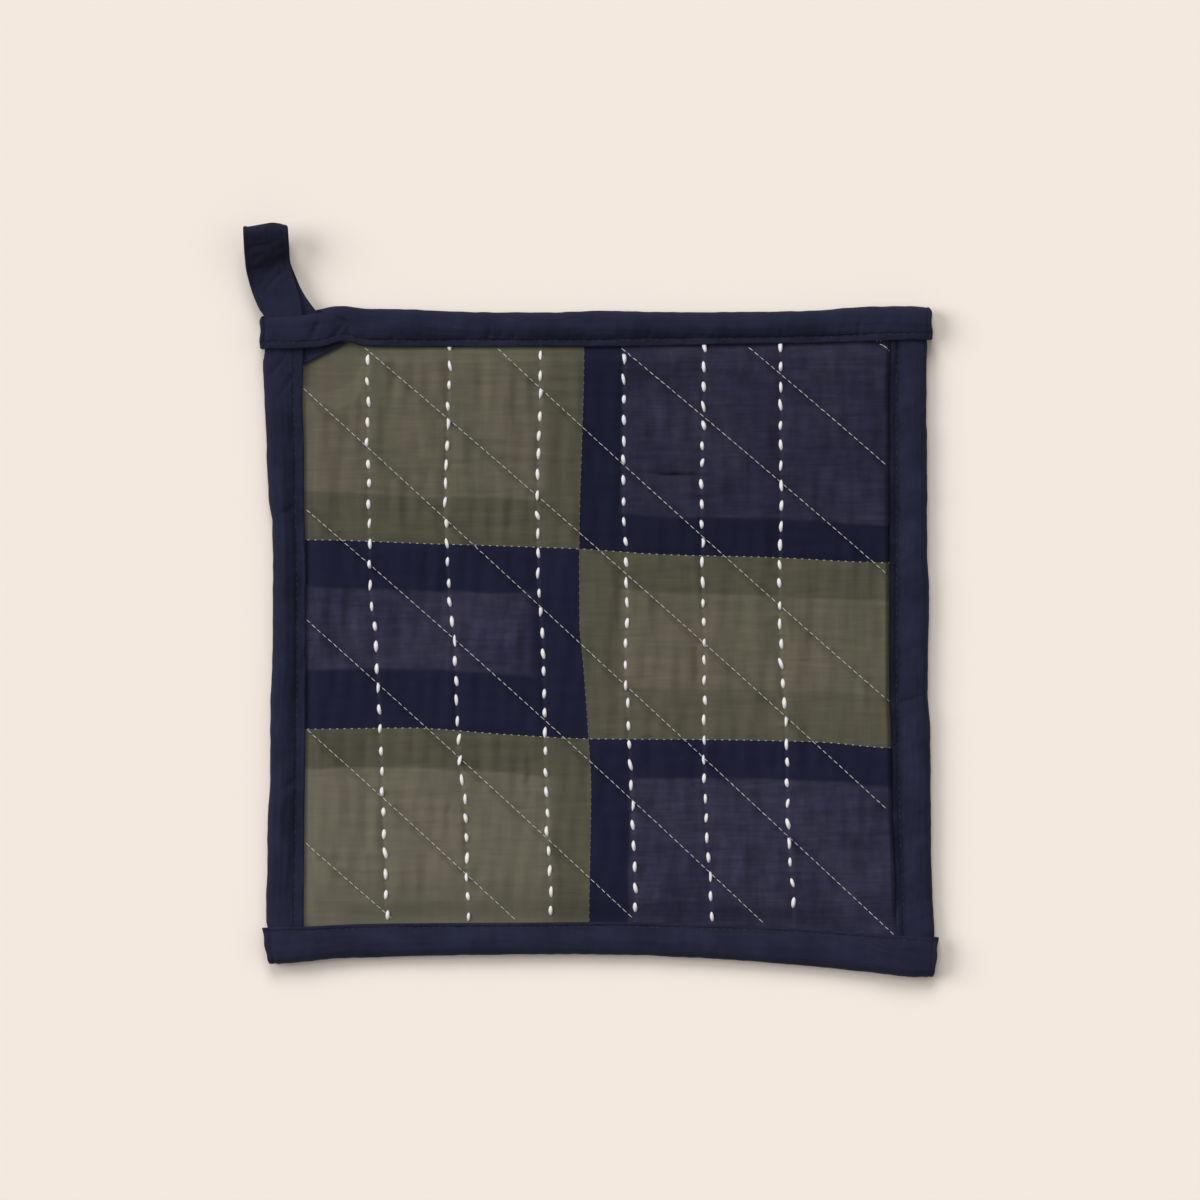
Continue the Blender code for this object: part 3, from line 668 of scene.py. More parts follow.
def panel(looks):
    """Face and underside on one plan grid, the underside's coarser, with a wall round their raw edge. Each
    face of the wall takes in one stretch of the underside's edge and the face's stretches above it."""
    x, y = panel_plan(FACE_LINES)
    back_x, back_y = x[::BACK_EVERY, ::BACK_EVERY], y[::BACK_EVERY, ::BACK_EVERY]
    n, m = len(x), len(back_x)
    face = np.stack([x, y, face_height(x, y)], axis=-1).reshape(-1, 3)
    back = np.stack([back_x, back_y, back_height(back_x, back_y)], axis=-1).reshape(-1, 3)
    points = np.concatenate([face, back])
    upper = grid_faces(n, n)
    under = grid_faces(m, m, n * n)[:, ::-1]

    def edge(index):
        return np.concatenate([index[:-1, 0], index[-1, :-1], index[:0:-1, -1], index[0, :0:-1]])

    rim = edge(np.arange(n * n).reshape(n, n))
    low = edge(n * n + np.arange(m * m).reshape(m, m))
    steps = [np.roll(rim, -k)[::BACK_EVERY] for k in range(BACK_EVERY, -1, -1)]
    wall = np.stack([low, np.roll(low, -1), *steps], axis=-1)
    px, py = points[:, 0], points[:, 1]
    fields = [
        ("across", px - down_seam(py)),
        ("upper", py - upper_seam(px)),
        ("lower", py - lower_seam(px)),
        ("hand", hand_distance(px, py)),
    ]
    face_looks = np.concatenate([np.zeros(len(upper)), np.ones(len(under) + len(wall))])
    made = mesh_piece("quilted_pad", points, [*upper, *under, *wall], looks, face_looks, fields)
    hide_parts("quilted_panel")


def wall_section(width, base, top, sink, edge):
    """Middle line of the binding's cloth, as insets from the fold and heights: along the underside, round
    half an ellipse at the fold, over the crown, and down to the stitches near the inner edge."""
    r = CLOTH / 2
    shoulder = top + 0.6 * CROWN - r
    middle, half = (shoulder + base + r) / 2, (shoulder - base - r) / 2
    inner = width - r
    under = inner - np.linspace(0, 1, UNDER_POINTS)[:-1] * (inner - FOLD)
    turn = np.radians(np.linspace(-90, 90, FOLD_POINTS))[:-1]
    face = FOLD + np.linspace(0, 1, FACE_POINTS) * (inner - FOLD)
    crest, sewn = edge.crest * width, width - edge.stitch
    knots = [FOLD, crest, (crest + sewn) / 2, sewn, width]
    slope = top + 0.6 * CROWN - 0.36 * sink - r
    rise = between(knots, [shoulder, top + CROWN - r, slope, top - sink - r, top - sink - r], face)
    inset = np.concatenate([under, FOLD - (FOLD - r) * np.cos(turn), face])
    height = np.concatenate([np.full(len(under), base + r), middle + half * np.sin(turn), rise])
    return inset, height


def binding_ring(width, base, top, sink, edge, relief):
    """Closed ring of the binding's section: the skin with its relief, a half-round folded edge, the
    inside and the other folded edge. relief is how far each point of the skin stands out."""
    inset, height = wall_section(width, base, top, sink, edge)
    run = np.stack([np.gradient(inset), np.gradient(height)], axis=-1)
    run /= np.linalg.norm(run, axis=-1, keepdims=True)
    out = np.stack([-run[:, 1], run[:, 0]], axis=-1)
    line = np.stack([inset, height], axis=-1)
    r = CLOTH / 2
    skin = line + out * (r + relief)[:, None]
    inside = (line - out * r)[::-1][::INSIDE_EVERY]
    angle = np.radians(np.linspace(0, 180, EDGE_POINTS + 2))[1:-1, None]
    far = line[-1] + r * (np.cos(angle) * out[-1] + np.sin(angle) * run[-1])
    near = line[0] + r * (-np.cos(angle) * out[0] - np.sin(angle) * run[0])
    return np.concatenate([skin, far, inside, near])


def binding_relief(plan, along, from_fold, width, seed, face, ends, edge):
    """How far the skin stands out: soft bulges, drag lines that slant away from the stitches, the ditch
    of those stitches, dents, and the folds at both ends. The underside stays flat. plan holds where the
    points lie; ends holds, for each end, how far it is and its tuck."""
    from_edge = width - from_fold
    from_stitch = from_edge - edge.stitch
    bulge = 0.15 * waves(along, from_fold, seed, 11, 20) + 0.08 * waves(along, from_fold, seed + 1, 50, 4)
    drag = 0.10 * waves(along + 0.4 * from_fold, from_fold, seed + 2, 5.5, 18)
    drag = drag * (0.25 + np.exp(-from_edge / 4.0))
    ditch = EDGE_GROOVE[0] * hump(from_stitch, EDGE_GROOVE[1])
    pucker = 0.08 * np.sin(math.pi * along / MACHINE_PITCH) * np.exp(-np.abs(from_stitch) / 1.8)
    tucks = np.zeros(np.shape(from_fold))
    for distance, at, depth, ledge in ends:
        tucks = tucks + depth * hump(distance - at, 0.5) + ledge * (1 - ramp(distance, at - 0.3, at + 0.2))
    dents = DENT_DEPTH * creased(*plan, DENTS)
    raised = np.clip((1 - hump(from_stitch, 0.8)) * (bulge + drag) + pucker, -0.4, 0.35)
    return face * np.maximum(raised - np.maximum(ditch + tucks, dents), -THINNEST)


def strip_piece(name, rings, look, warp, weft, shade):
    """A closed tube through rings of points, with one face over each end. Its weave runs by warp along it
    and by weft round it, and painted shade darkens its cloth by shade. warp and shade may be one value for
    each ring."""
    points = np.asarray(rings)
    rows, columns = points.shape[:2]
    caps = [range(columns), range((rows - 1) * columns, rows * columns)]
    faces = [*grid_faces(rows, columns, around=True), *caps]
    fields = (("warp", warp), ("weft", weft), ("shade", shade))
    fields = [
        (label, np.broadcast_to(np.reshape(values, (rows, -1)), (rows, columns)).ravel())
        for label, values in fields
    ]
    made = mesh_piece(name, points.reshape(-1, 3), faces, [look], attributes=fields)
    turn_outwards(made)
    return made


def binding_stations(low, high, turned_in):
    """Places along a strip, each with its share of the height and whether it is filled. A turned-in end
    rounds off in a few filled steps and is finely divided where its fold shows."""
    count = round((high - low) / BINDING_PITCH)
    if not turned_in:
        return [(at, 1.0, False) for at in np.linspace(low, high, count + 1)]
    near = np.arange(1.2, 3.6, 0.2)
    inner = sorted([*np.linspace(low + CLOTH, high - CLOTH, count - 1), *(low + near), *(high - near)])
    first = [(low + deep, share, True) for deep, share in (*END_STEPS, (CLOTH, 1.0))]
    last = [(high - deep, share, True) for deep, share in ((CLOTH, 1.0), *reversed(END_STEPS))]
    return first + [(at, 1.0, False) for at in inner] + last


def binding(name, node, band, across, seed, tucks, edge, look):
    """A strip folded over the edge of the panel: one ring for each station along it. One that runs across,
    along X, has its ends turned in: each is filled, rounded, and has a slit at mid height. tucks gives,
    for the low and the high end, where the turned-in fold shows, its depth and the step down to the layer
    outside it."""
    low, high = band[0].along, band[-1].along
    stations = binding_stations(low, high, across)
    rings, girths, shades = [], [], []
    skin_points = UNDER_POINTS + FOLD_POINTS + FACE_POINTS - 2
    face = [np.zeros(UNDER_POINTS - 1), np.linspace(0, 1, FOLD_POINTS)[:-1], np.ones(FACE_POINTS)]
    face = np.concatenate(face)
    for along, share, filled in stations:
        lean, outer, inner, base, top, sink = (float(of_band(band, c, along)) for c in Band._fields[1:])
        width, inwards = abs(inner - outer), np.sign(inner - outer)
        inset = wall_section(width, base, top, sink, edge)[0]
        level = np.full(inset.shape, along)
        reach = outer + inwards * inset
        plan = (level, reach) if across else (reach, level)
        ends = ((level - low, *tucks[0]), (high - level, *tucks[1]))
        relief = binding_relief(plan, level, inset, width, seed, face, ends, edge)
        ring = binding_ring(width, base, top, sink, edge, relief)
        # Painted shade near the stitched inner edge, standing in for the shadow in the ditch beside the
        # panel
        shades.append(edge.shade * hump(width - ring[:, 0] - 0.8 * edge.stitch, 1.5))
        if filled:
            held = slice(skin_points + EDGE_POINTS, len(ring) - EDGE_POINTS)
            ring[held, 0] = width - CLOTH / 2
            ring[held, 1] = np.linspace(top - sink - CLOTH, base + CLOTH, len(ring[held]))
            middle = (top + base) / 2
            ring[:, 1] = middle + (ring[:, 1] - middle) * share
            ring[:, 0] += (1 - share) * 0.06 * (width / 2 - ring[:, 0])
        slide = along + lean * ring[:, 0] / width
        if across:
            nearest = min(along - low, high - along)
            from_end = 1.0 if along - low < high - along else -1.0
            cut = CORNER_CUT * np.clip(1 - ring[:, 0] / 2.2, 0, 1) ** 2
            cut = cut + 0.18 * np.sin(ring[:, 0] * 0.9 + seed)
            slide = slide + from_end * cut * max(0.0, 1 - nearest / 5.0)
        reach = outer + inwards * ring[:, 0]
        spots = [slide, reach, ring[:, 1]] if across else [reach, slide, ring[:, 1]]
        rings.append(np.stack(spots, axis=-1))
        steps = np.linalg.norm(np.diff(ring, axis=0), axis=1)
        girths.append(np.concatenate([[0], np.cumsum(steps)]))
    made = strip_piece(name, rings, look, [station[0] for station in stations], girths, shades)
    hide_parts(node)
    return made


def turn_outwards(piece):
    """Turns every face of a closed piece outwards."""
    shape = bmesh.new()
    shape.from_mesh(piece.data)
    bmesh.ops.recalc_face_normals(shape, faces=shape.faces)
    shape.to_mesh(piece.data)
    shape.free()


def cut_slot(piece):
    """Cuts the opening in the top binding's fold that the loop's strip passes through."""
    corners = [(x, y, z) for z in SLOT_Z for y in SLOT_Y for x in SLOT_X]
    sides = [(0, 2, 3, 1), (4, 5, 7, 6), (0, 1, 5, 4), (2, 6, 7, 3), (0, 4, 6, 2), (1, 3, 7, 5)]
    mesh = bpy.data.meshes.new("slot")
    mesh.from_pydata((np.array(corners) * MM).tolist(), [], sides)
    cutter = add("slot", mesh)
    cut = piece.modifiers.new("slot", "BOOLEAN")
    cut.operation = "DIFFERENCE"
    cut.solver = "MANIFOLD"
    cut.object = cutter
    whole = bpy.context.evaluated_depsgraph_get()
    finished = bpy.data.meshes.new_from_object(piece.evaluated_get(whole))
    piece.modifiers.clear()
    piece.data = finished
    bpy.data.objects.remove(cutter)


def loop_line(count):
    """Points, turns and widths along the loop's strip, bending evenly through the listed ones."""
    knots = np.array(LOOP)
    steps = np.linalg.norm(np.diff(knots[:, :3], axis=0), axis=1)
    reach = np.concatenate([[0], np.cumsum(steps)])
    at = np.linspace(0, reach[-1], count)
    slope = np.gradient(knots, reach, axis=0)
    k = np.clip(np.searchsorted(reach, at, side="right") - 1, 0, len(steps) - 1)
    t = ((at - reach[k]) / steps[k])[:, None]
    return at, cubic(knots, slope, steps[k][:, None], k, t)


def loop(look):
    """The folded strip of the hanging loop: a flat ring with half-round edges, swept along its line. Its
    faces have a ditch along each stitched edge, and the edges a groove between the folds of the cloth.
    Clear of the binding it is crumpled and creased, and its top fold is uneven, with the right corner
    rounded."""
    at, line = loop_line(LOOP_STATIONS)
    centre, turn, half_width = line[:, :3], np.radians(line[:, 3]), line[:, 4] / 2
    side = np.stack([np.cos(turn), np.sin(turn), np.zeros_like(turn)], axis=-1)
    ahead = np.gradient(centre, axis=0)
    up = np.cross(side, ahead)
    up /= np.linalg.norm(up, axis=1)[:, None]
    r = CLOTH / 2
    spread = np.linspace(-1, 1, LOOP_FACE_POINTS)
    angle = np.radians(np.linspace(90, -90, LOOP_EDGE_POINTS + 2))[1:-1]
    notch = 1 - 0.35 * hump(angle, 0.35)
    across = half_width[:, None] - r
    from_edge = half_width[:, None] * (1 - np.abs(spread)) + r
    ditch = 0.2 * hump(from_edge - LOOP_STITCH, 0.5)
    free = ramp(centre[:, 1], 112, 118)[:, None]
    along, aside = at[:, None], spread * 8
    crumple = 0.20 * waves(along, aside, 31, 9, 15) + 0.07 * waves(along, aside, 32, 4, 9)
    plan = [centre[:, n : n + 1] + side[:, n : n + 1] * across * spread for n in (0, 1)]
    returning = along > at[np.argmax(centre[:, 1])]
    folded = 1.2 * returning * creased(*plan, LOOP_CREASES)
    wave = free * (crumple * (1 - 0.7 * spread**2) + folded)
    upper = r - ditch + wave
    lower = -r + ditch + wave
    right = np.broadcast_to(across + r * notch * np.cos(angle), (len(at), len(angle)))
    tilt = np.broadcast_to(r * np.sin(angle), right.shape)
    shift = [across * spread, right, (across * spread)[:, ::-1], -right[:, ::-1]]
    shift = np.concatenate(shift, axis=1)
    edge_left, edge_right = wave[:, :1] + tilt, wave[:, -1:] + tilt
    lift = np.concatenate([upper, edge_right, lower[:, ::-1], edge_left[:, ::-1]], axis=1)
    points = centre[:, None] + side[:, None] * shift[..., None] + up[:, None] * lift[..., None]
    share = shift / half_width[:, None]
    near_tip = ramp(centre[:, 1], 129, 135)[:, None]
    uneven = 0.22 * np.sin(share * 4.2 + 0.8) - 0.9 * np.clip((share - 0.72) / 0.28, 0, 1) ** 2
    uneven = uneven - 0.35 * np.clip((-share - 0.86) / 0.14, 0, 1) ** 2
    points[..., 1] += near_tip * uneven
    # Painted shade on the steep fold near the loop's tip, which faces away from the light
    shade = LOOP_PAINTED_SHADE * ramp(centre[:, 1], 117, 124)
    made = strip_piece("loop_strip", points, look, at, shift, shade)
    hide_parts("hanging_loop")
    at[-1] * MM


def beads(name, start, end, normal, width, height, rise, look, lobes=0, turns=0.0, steps=8, sides=8):
    """Many stitches as one mesh. Each is a tube with blunt closed ends whose middle line runs from start
    to end and arches up along normal by rise. lobes and turns twist plies round it. The normal and the
    sizes may be one for all."""
    many = len(start)
    normal = np.broadcast_to(np.asarray(normal, float), (many, 3))
    width, height, rise = (np.broadcast_to(each, many)[:, None, None] for each in (width, height, rise))
    share = np.linspace(0, 1, steps + 1)[1:-1][None, :, None]
    angle = np.linspace(0, 2 * math.pi, sides, endpoint=False)[None, None, :]
    run = (end - start) / np.linalg.norm(end - start, axis=1)[:, None]
    aside = np.cross(run, normal)
    aside /= np.linalg.norm(aside, axis=1)[:, None]
    full = np.sin(math.pi * share) ** 0.5
    ply = 1 + (0.10 * np.cos(lobes * angle + 2 * math.pi * turns * share) if lobes else 0 * angle)
    middle = start[:, None, None] + (end - start)[:, None, None] * share[..., None]
    arch = rise * np.sin(math.pi * share) + height / 2 * full * ply * np.sin(angle)
    spread = width / 2 * full * ply * np.cos(angle)
    body = middle + normal[:, None, None] * arch[..., None] + aside[:, None, None] * spread[..., None]
    each = (steps - 1) * sides
    points = np.concatenate([body.reshape(many, each, 3), start[:, None], end[:, None]], axis=1)
    tube = grid_faces(steps - 1, sides, around=True)
    tip = np.arange(sides)
    after = np.roll(tip, -1)
    nose = np.stack([np.full(sides, each), after, tip], axis=-1)
    tail = np.stack([np.full(sides, each + 1), tip + each - sides, after + each - sides], axis=-1)
    shifts = (np.arange(many) * (each + 2))[:, None, None]
    faces = [f for part in (tube, nose, tail) for f in (shifts + part).reshape(-1, part.shape[1])]
    turn_outwards(mesh_piece(name, points.reshape(-1, 3), faces, [look]))


def normals(x, y, height_of):
    """Upward normals of a height field."""
    small = 0.4
    dx = (height_of(x + small, y) - height_of(x - small, y)) / (2 * small)
    dy = (height_of(x, y + small) - height_of(x, y - small)) / (2 * small)
    normal = np.stack([-dx, -dy, np.ones_like(dx)], axis=-1)
    return normal / np.linalg.norm(normal, axis=-1, keepdims=True)


def on_cloth(ends, height_of, sink):
    """Points in the plane set on a height field, and sunk into it."""
    return [np.stack([x, y, height_of(x, y) - sink], axis=-1) for x, y in ends]


def along_routes(routes, first):
    """Middle and direction of every machine stitch along the given fine lines of points."""
    found = []
    for x, y in routes:
        reach = np.concatenate([[0], np.cumsum(np.hypot(np.diff(x), np.diff(y)))])
        at = np.arange(first, reach[-1], MACHINE_PITCH)
        ahead = [np.interp(at, reach, np.gradient(each, reach)) for each in (x, y)]
        found.append((np.interp(at, reach, x), np.interp(at, reach, y), np.stack(ahead, axis=-1)))
    return [np.concatenate(each) for each in zip(*found)]


def seam_routes():
    """Each patchwork seam as a fine line of points."""
    y = np.linspace(-95.5, 96.0, 400)
    x = np.linspace(-98.0, 96.4, 400)
    return [(down_seam(y), y), (x, upper_seam(x)), (x, lower_seam(x))]


def sewn_line(name, places, stitch, height_of, look, side=1):
    """One mesh of stitches laid on the cloth at the given places. side is -1 on the underside."""
    x, y, ahead = places
    length, width, height = stitch
    rng = np.random.default_rng(len(name))
    turn = np.arctan2(ahead[:, 1], ahead[:, 0]) + np.radians(rng.normal(0, 2.5, len(x)))
    half = length / 2 * rng.uniform(0.9, 1.06, len(x))
    ends = on_cloth(stitch_ends(x, y, half, turn), height_of, side * STITCH_SINK)
    normal = normals(x, y, height_of) * side
    beads(name, *ends, normal, width, height, height * 0.45, look, steps=6, sides=6)


def hand_stitches(look):
    """The white running stitches: short plump floats of several strands that dip into the cloth."""
    x, y, half, lean = hand_places()
    rng = np.random.default_rng(9)
    ends = on_cloth(stitch_ends(x, y, half, np.radians(90 + lean)), face_height, 0.06)
    cloth = face_height(x, y)
    rise = 0.34 + np.maximum(cloth - (ends[0][:, 2] + ends[1][:, 2]) / 2 - 0.15, 0)
    width = HAND_STITCH[1] * rng.uniform(0.82, 1.1, len(x))
    height = HAND_STITCH[2] * rng.uniform(0.85, 1.1, len(x))
    normal = normals(x, y, face_height)
    beads("hand_stitches", *ends, normal, width, height, rise, look, lobes=3, turns=0.8, sides=10)


def hand_stitches_behind(look):
    """The other half of each running stitch: a flat float on the underside between two of the face's."""
    x, y = hand_places()[:2]
    rng = np.random.default_rng(10)
    y = y + HALF_HAND_PITCH
    clear = np.min(inside_edges(x, y), axis=0) > 3.5
    x, y = x[clear] + rng.normal(0, 0.1, clear.sum()), y[clear]
    length, width, height = BACK_HAND_STITCH
    half = length / 2 * rng.uniform(0.9, 1.1, len(x))
    ends = on_cloth([(x, y - half), (x, y + half)], back_height, 0.0)
    name = "hand_stitches_behind"
    beads(name, *ends, DOWN, width, height, 0.04, look, lobes=3, turns=0.8, steps=7)


def thread_ends(look):
    """A few loose ends of thread lying on the cloth: each a chain of short lengths."""
    chains = [on_cloth([np.transpose(end)], face_height, -0.22)[0] for end in LOOSE_ENDS]
    starts = np.concatenate([spots[:-1] for spots in chains])
    ends = np.concatenate([spots[1:] for spots in chains])
    overlap = 0.12 * (ends - starts)
    starts, ends = starts - overlap, ends + overlap
    beads("thread_ends", starts, ends, UP, 0.22, 0.2, 0.0, look, steps=5, sides=6)


def edge_stitches(look):
    """Navy stitches in the ditch of each binding's face."""
    starts, ends = [], []
    edges = ((TOP, 1, TOP_EDGE), (BOTTOM, 1, BOTTOM_EDGE), (LEFT, 0, LEFT_EDGE), (RIGHT, 0, RIGHT_EDGE))
    for band, across, edge in edges:
        low = band[0].along + 3 if across else max(band[0].along, -98)
        high = band[-1].along - 3 if across else min(band[-1].along, 96)
        at = np.arange(low, high - MACHINE_PITCH, MACHINE_PITCH)
        for shift, store in ((0.2, starts), (MACHINE_PITCH - 0.2, ends)):
            a = at + shift
            inner, outer, top, sink = (of_band(band, c, a) for c in ("inner", "outer", "top", "sink"))
            place = inner + np.sign(outer - inner) * edge.stitch
            z = top - sink - EDGE_GROOVE[0] - 0.03
            store.append(np.stack([a, place, z] if across else [place, a, z], axis=-1))
    starts, ends = np.concatenate(starts), np.concatenate(ends)
    beads("edge_stitches", starts, ends, UP, 0.28, 0.24, 0.06, look, steps=5, sides=6)


class Value:
    """A value in a material's nodes that can be reckoned with like a number."""

    def __init__(self, look, socket):
        self.look = look
        self.socket = socket

    def __add__(self, other):
        return self.look.maths("ADD", self, other)

    def __sub__(self, other):
        return self.look.maths("SUBTRACT", self, other)

    def __rsub__(self, other):
        return self.look.maths("SUBTRACT", other, self)

    def __mul__(self, other):
        return self.look.maths("MULTIPLY", self, other)

    def __truediv__(self, other):
        return self.look.maths("DIVIDE", self, other)

    def __abs__(self):
        return self.look.maths("ABSOLUTE", self)


class Look:
    """A material built node by node."""

    def __init__(self, name, roughness, specular, sheen=0.0):
        self.material = bpy.data.materials.new(name)
        self.material.use_nodes = True
        self.tree = self.material.node_tree
        self.shader = self.tree.nodes["Principled BSDF"].inputs
        self.shader["Roughness"].default_value = roughness
        self.shader["Specular IOR Level"].default_value = specular
        self.shader["Sheen Weight"].default_value = sheen
        self.shader["Sheen Roughness"].default_value = 0.5

    def plug(self, socket, value):
        """Links a value to a socket, or sets a number or colour there."""
        if isinstance(value, Value):
            self.tree.links.new(value.socket, socket)
        else:
            socket.default_value = value

    def node(self, kind, inputs=(), output=0, **settings):
        """One output of a new node."""
        made = self.tree.nodes.new(kind)
        for key, value in settings.items():
            setattr(made, key, value)
        for key, value in dict(inputs).items():
            self.plug(made.inputs[key], value)
        return Value(self, made.outputs[output])

    def maths(self, operation, *values):
        return self.node("ShaderNodeMath", enumerate(values), operation=operation)

    def step(self, value, low, high):
        """Smooth step of a value from 0 at low to 1 at high."""
        spans = {"Value": value, "From Min": low, "From Max": high}
        return self.node("ShaderNodeMapRange", spans, "Result", interpolation_type="SMOOTHSTEP")

    def mix(self, share, one, other):
        """The first colour where the share is 0, and the other where it is 1."""
        one, other = (each if isinstance(each, Value) else (*each, 1) for each in (one, other))
        return self.node("ShaderNodeMix", {0: share, 6: one, 7: other}, 2, data_type="RGBA")

    def shaded(self, tone, value, low, high, depth):
        """The tone darkened by up to depth where the value is low, and lightened where it is high."""
        spans = {"Value": value, "From Min": low, "From Max": high, "To Min": 1 - depth, "To Max": 1 + depth}
        factor = self.node("ShaderNodeMapRange", spans, "Result")
        return self.node("ShaderNodeVectorMath", {0: tone, "Scale": factor}, operation="SCALE")

    def field(self, name):
        """A value that the piece's mesh holds at its points."""
        return self.node("ShaderNodeAttribute", (), "Fac", attribute_name=name)

    def weave_place(self, by_object):
        """Where the weave is read, in millimetres: the object's place, or the strip's length and girth."""
        if by_object:
            place = self.node("ShaderNodeTexCoord", (), "Object")
            return self.node("ShaderNodeVectorMath", {0: place, "Scale": 1 / MM}, operation="SCALE")
        return self.node("ShaderNodeCombineXYZ", {"X": self.field("warp"), "Y": self.field("weft")})

    def noise(self, place, sizes, detail=2.0, rough=0.5):
        """Noise whose grain has these sizes along the place's axes."""
        scale = {0: place, 1: [1 / size for size in sizes]}
        scaled = self.node("ShaderNodeVectorMath", scale, operation="MULTIPLY")
        inputs = {"Vector": scaled, "Scale": 1.0, "Detail": detail, "Roughness": rough}
        return self.node("ShaderNodeTexNoise", inputs, "Fac")

    def yarns(self, place):
        """Height of a plain weave: yarns of uneven thickness crossing over and under each other."""
        x, y = (self.node("ShaderNodeSeparateXYZ", {0: place}, n) for n in (0, 1))
        bend = self.noise(place, (2.0, 2.0, 2.0))
        turns = [self.maths("SINE", value * (math.pi / YARN) + bend * 2.5) for value in (x, y)]
        crossing = turns[0] * turns[1]
        along_y = self.noise(place, (0.5, 9.0, 9.0))
        along_x = self.noise(place, (9.0, 0.5, 9.0))
        return crossing * 0.35 + (along_x * 1.3 + along_y * 0.7)

    def relief(self, height, depth):
        """Lets the light fall as if the surface were raised by the height, up to depth in millimetres."""
        inputs = {"Height": height, "Strength": 1.0, "Distance": depth * MM}
        self.plug(self.shader["Normal"], self.node("ShaderNodeBump", inputs, "Normal"))

    def colour(self, value):
        """Sets the colour, and hands the finished material over."""
        self.plug(self.shader["Base Color"], value)
        return self.material


def navy_cloth(name, by_object):
    """Plain-woven navy cotton, a little uneven, worn slightly paler in streaks along its length. A strip's
    mesh says where painted shade darkens it."""
    look = Look(name, 0.88, 0.10, 0.03)
    place = look.weave_place(by_object)
    yarns = look.yarns(place)
    look.relief(yarns, 0.08)
    mottle = look.noise(place, (15.0, 15.0, 15.0), 3.0)
    streak = look.noise(place, (9.0, 1.3, 9.0), 3.0, 0.6)
    dark, light = ([tone * share for tone in NAVY] for share in (0.84, 1.16))
    base = look.mix(look.step(mottle, 0.3, 0.7), dark, light)
    base = look.shaded(base, streak, 0.3, 0.7, 0.10)
    base = look.shaded(base, yarns, 0.8, 1.4, 0.14)
    # Painted shade: where the strip's shade field is set, the cloth is mixed towards black to stand in for
    # shadow
    return look.colour(look.mix(look.field("shade"), base, BLACK))


def patchwork_cloth():
    """Olive and navy patches with woven bands along the seams, streaks and slubs, and a faint trace of the
    thread that runs under the cloth between hand stitches."""
    look = Look("patchwork_cotton", 0.9, 0.10, 0.03)
    place = look.weave_place(True)
    yarns = look.yarns(place)
    look.relief(yarns, 0.08)
    across, upper, lower = look.field("across"), look.field("upper"), look.field("lower")
    left = look.maths("LESS_THAN", across, 0.0)
    high = look.maths("GREATER_THAN", upper, 0.0)
    low = look.maths("LESS_THAN", lower, 0.0)
    middle_row = 1.0 - (high + low)
    middle_left = left * middle_row
    olive = abs(left - middle_row)
    wobble = (look.noise(place, (14.0, 14.0, 14.0)) - 0.5) * 2.2

    def band(distance, width, soft):
        return 1.0 - look.step((abs(distance) - width + wobble) / soft, -1.0, 1.0)

    blurred = (olive + middle_left) * 2.4 + 0.8
    down_band = band(across, middle_left * 4.0 + 13.0, blurred) * (1.0 - olive * 0.15)
    upper_band = band(upper, left * 3.1 + 12.7, 0.8)
    faint = middle_row * (1.0 - left)
    lower_band = band(lower, middle_row * (left * 3.0 + 4.0) + 13.0, 0.8) * (1.0 - faint * 0.4)
    banded = look.maths("MAXIMUM", down_band, look.maths("MAXIMUM", upper_band, lower_band))

    patches = look.noise(place, (6.0, 11.0, 11.0), 3.0, 0.6)
    cloudy = look.noise(place, (22.0, 22.0, 22.0), 3.0, 0.55)
    olive_tone = look.mix(look.step(patches, 0.36, 0.66), OLIVE_GREEN, OLIVE_LIGHT)
    olive_tone = look.mix(look.step(cloudy, 0.42, 0.72), olive_tone, OLIVE_WARM)
    olive_tone = look.mix(banded, olive_tone, OLIVE_BAND)
    for sizes, rough, depth in OLIVE_STREAKS:
        olive_tone = look.shaded(olive_tone, look.noise(place, sizes, 3.0, rough), 0.3, 0.7, depth)

    slub = look.noise(place, (16.0, 0.8, 16.0), 3.0, 0.65)
    blotch = look.noise(place, (3.6, 10.0, 10.0), 3.0, 0.6)
    level = look.noise(place, (12.0, 3.0, 12.0), 3.0, 0.6)
    navy_tone = look.mix(look.step(level * 0.4 + cloudy * 0.6, 0.38, 0.62), NAVY_GREY, NAVY_PALE)
    navy_tone = look.shaded(navy_tone, blotch, 0.3, 0.7, 0.22)
    navy_tone = look.shaded(navy_tone, slub, 0.35, 0.7, 0.14)
    navy_tone = look.mix(banded, navy_tone, NAVY_BAND)
    tone = look.mix(olive, navy_tone, olive_tone)
    tone = look.shaded(tone, yarns, 0.8, 1.4, 0.06)
    low_left = left * low * (1.0 - banded)
    tone = look.mix(low_left * 0.14, tone, FADED)
    tone = look.mix((high - left * high) * 0.18, tone, DEEP_NAVY)
    corner = low_left * look.step(across, -20.0, -90.0)
    tone = look.mix(corner * 0.06, tone, WORN)
    hand = 1.0 - look.step(look.field("hand"), 0.2, 1.0)
    return look.colour(look.mix(hand * (olive * 0.010 + 0.008), tone, THREAD))


def thread(name, tone):
    """Spun thread: fine plies along it, a soft sheen and slightly uneven tone."""
    look = Look(name, 0.7, 0.25, 0.2)
    plies = look.noise(look.weave_place(True), (0.16, 3.0, 0.16), 3.0)
    look.relief(plies, 0.06)
    return look.colour(look.mix(look.step(plies, 0.25, 0.75), [c * 0.82 for c in tone], tone))


def floor():
    """The pale surface below."""
    mesh = bpy.data.meshes.new("surface")
    corners = [(-1, -1), (1, -1), (1, 1), (-1, 1)]
    points = [(x * FLOOR_HALF * MM, y * FLOOR_HALF * MM, -FLOOR_DROP * MM) for x, y in corners]
    mesh.from_pydata(points, [], [(0, 1, 2, 3)])
    look = Look("pale_surface", 0.9, 0.1)
    mesh.materials.append(look.colour((*FLOOR_TONE, 1)))
    add("surface", mesh)


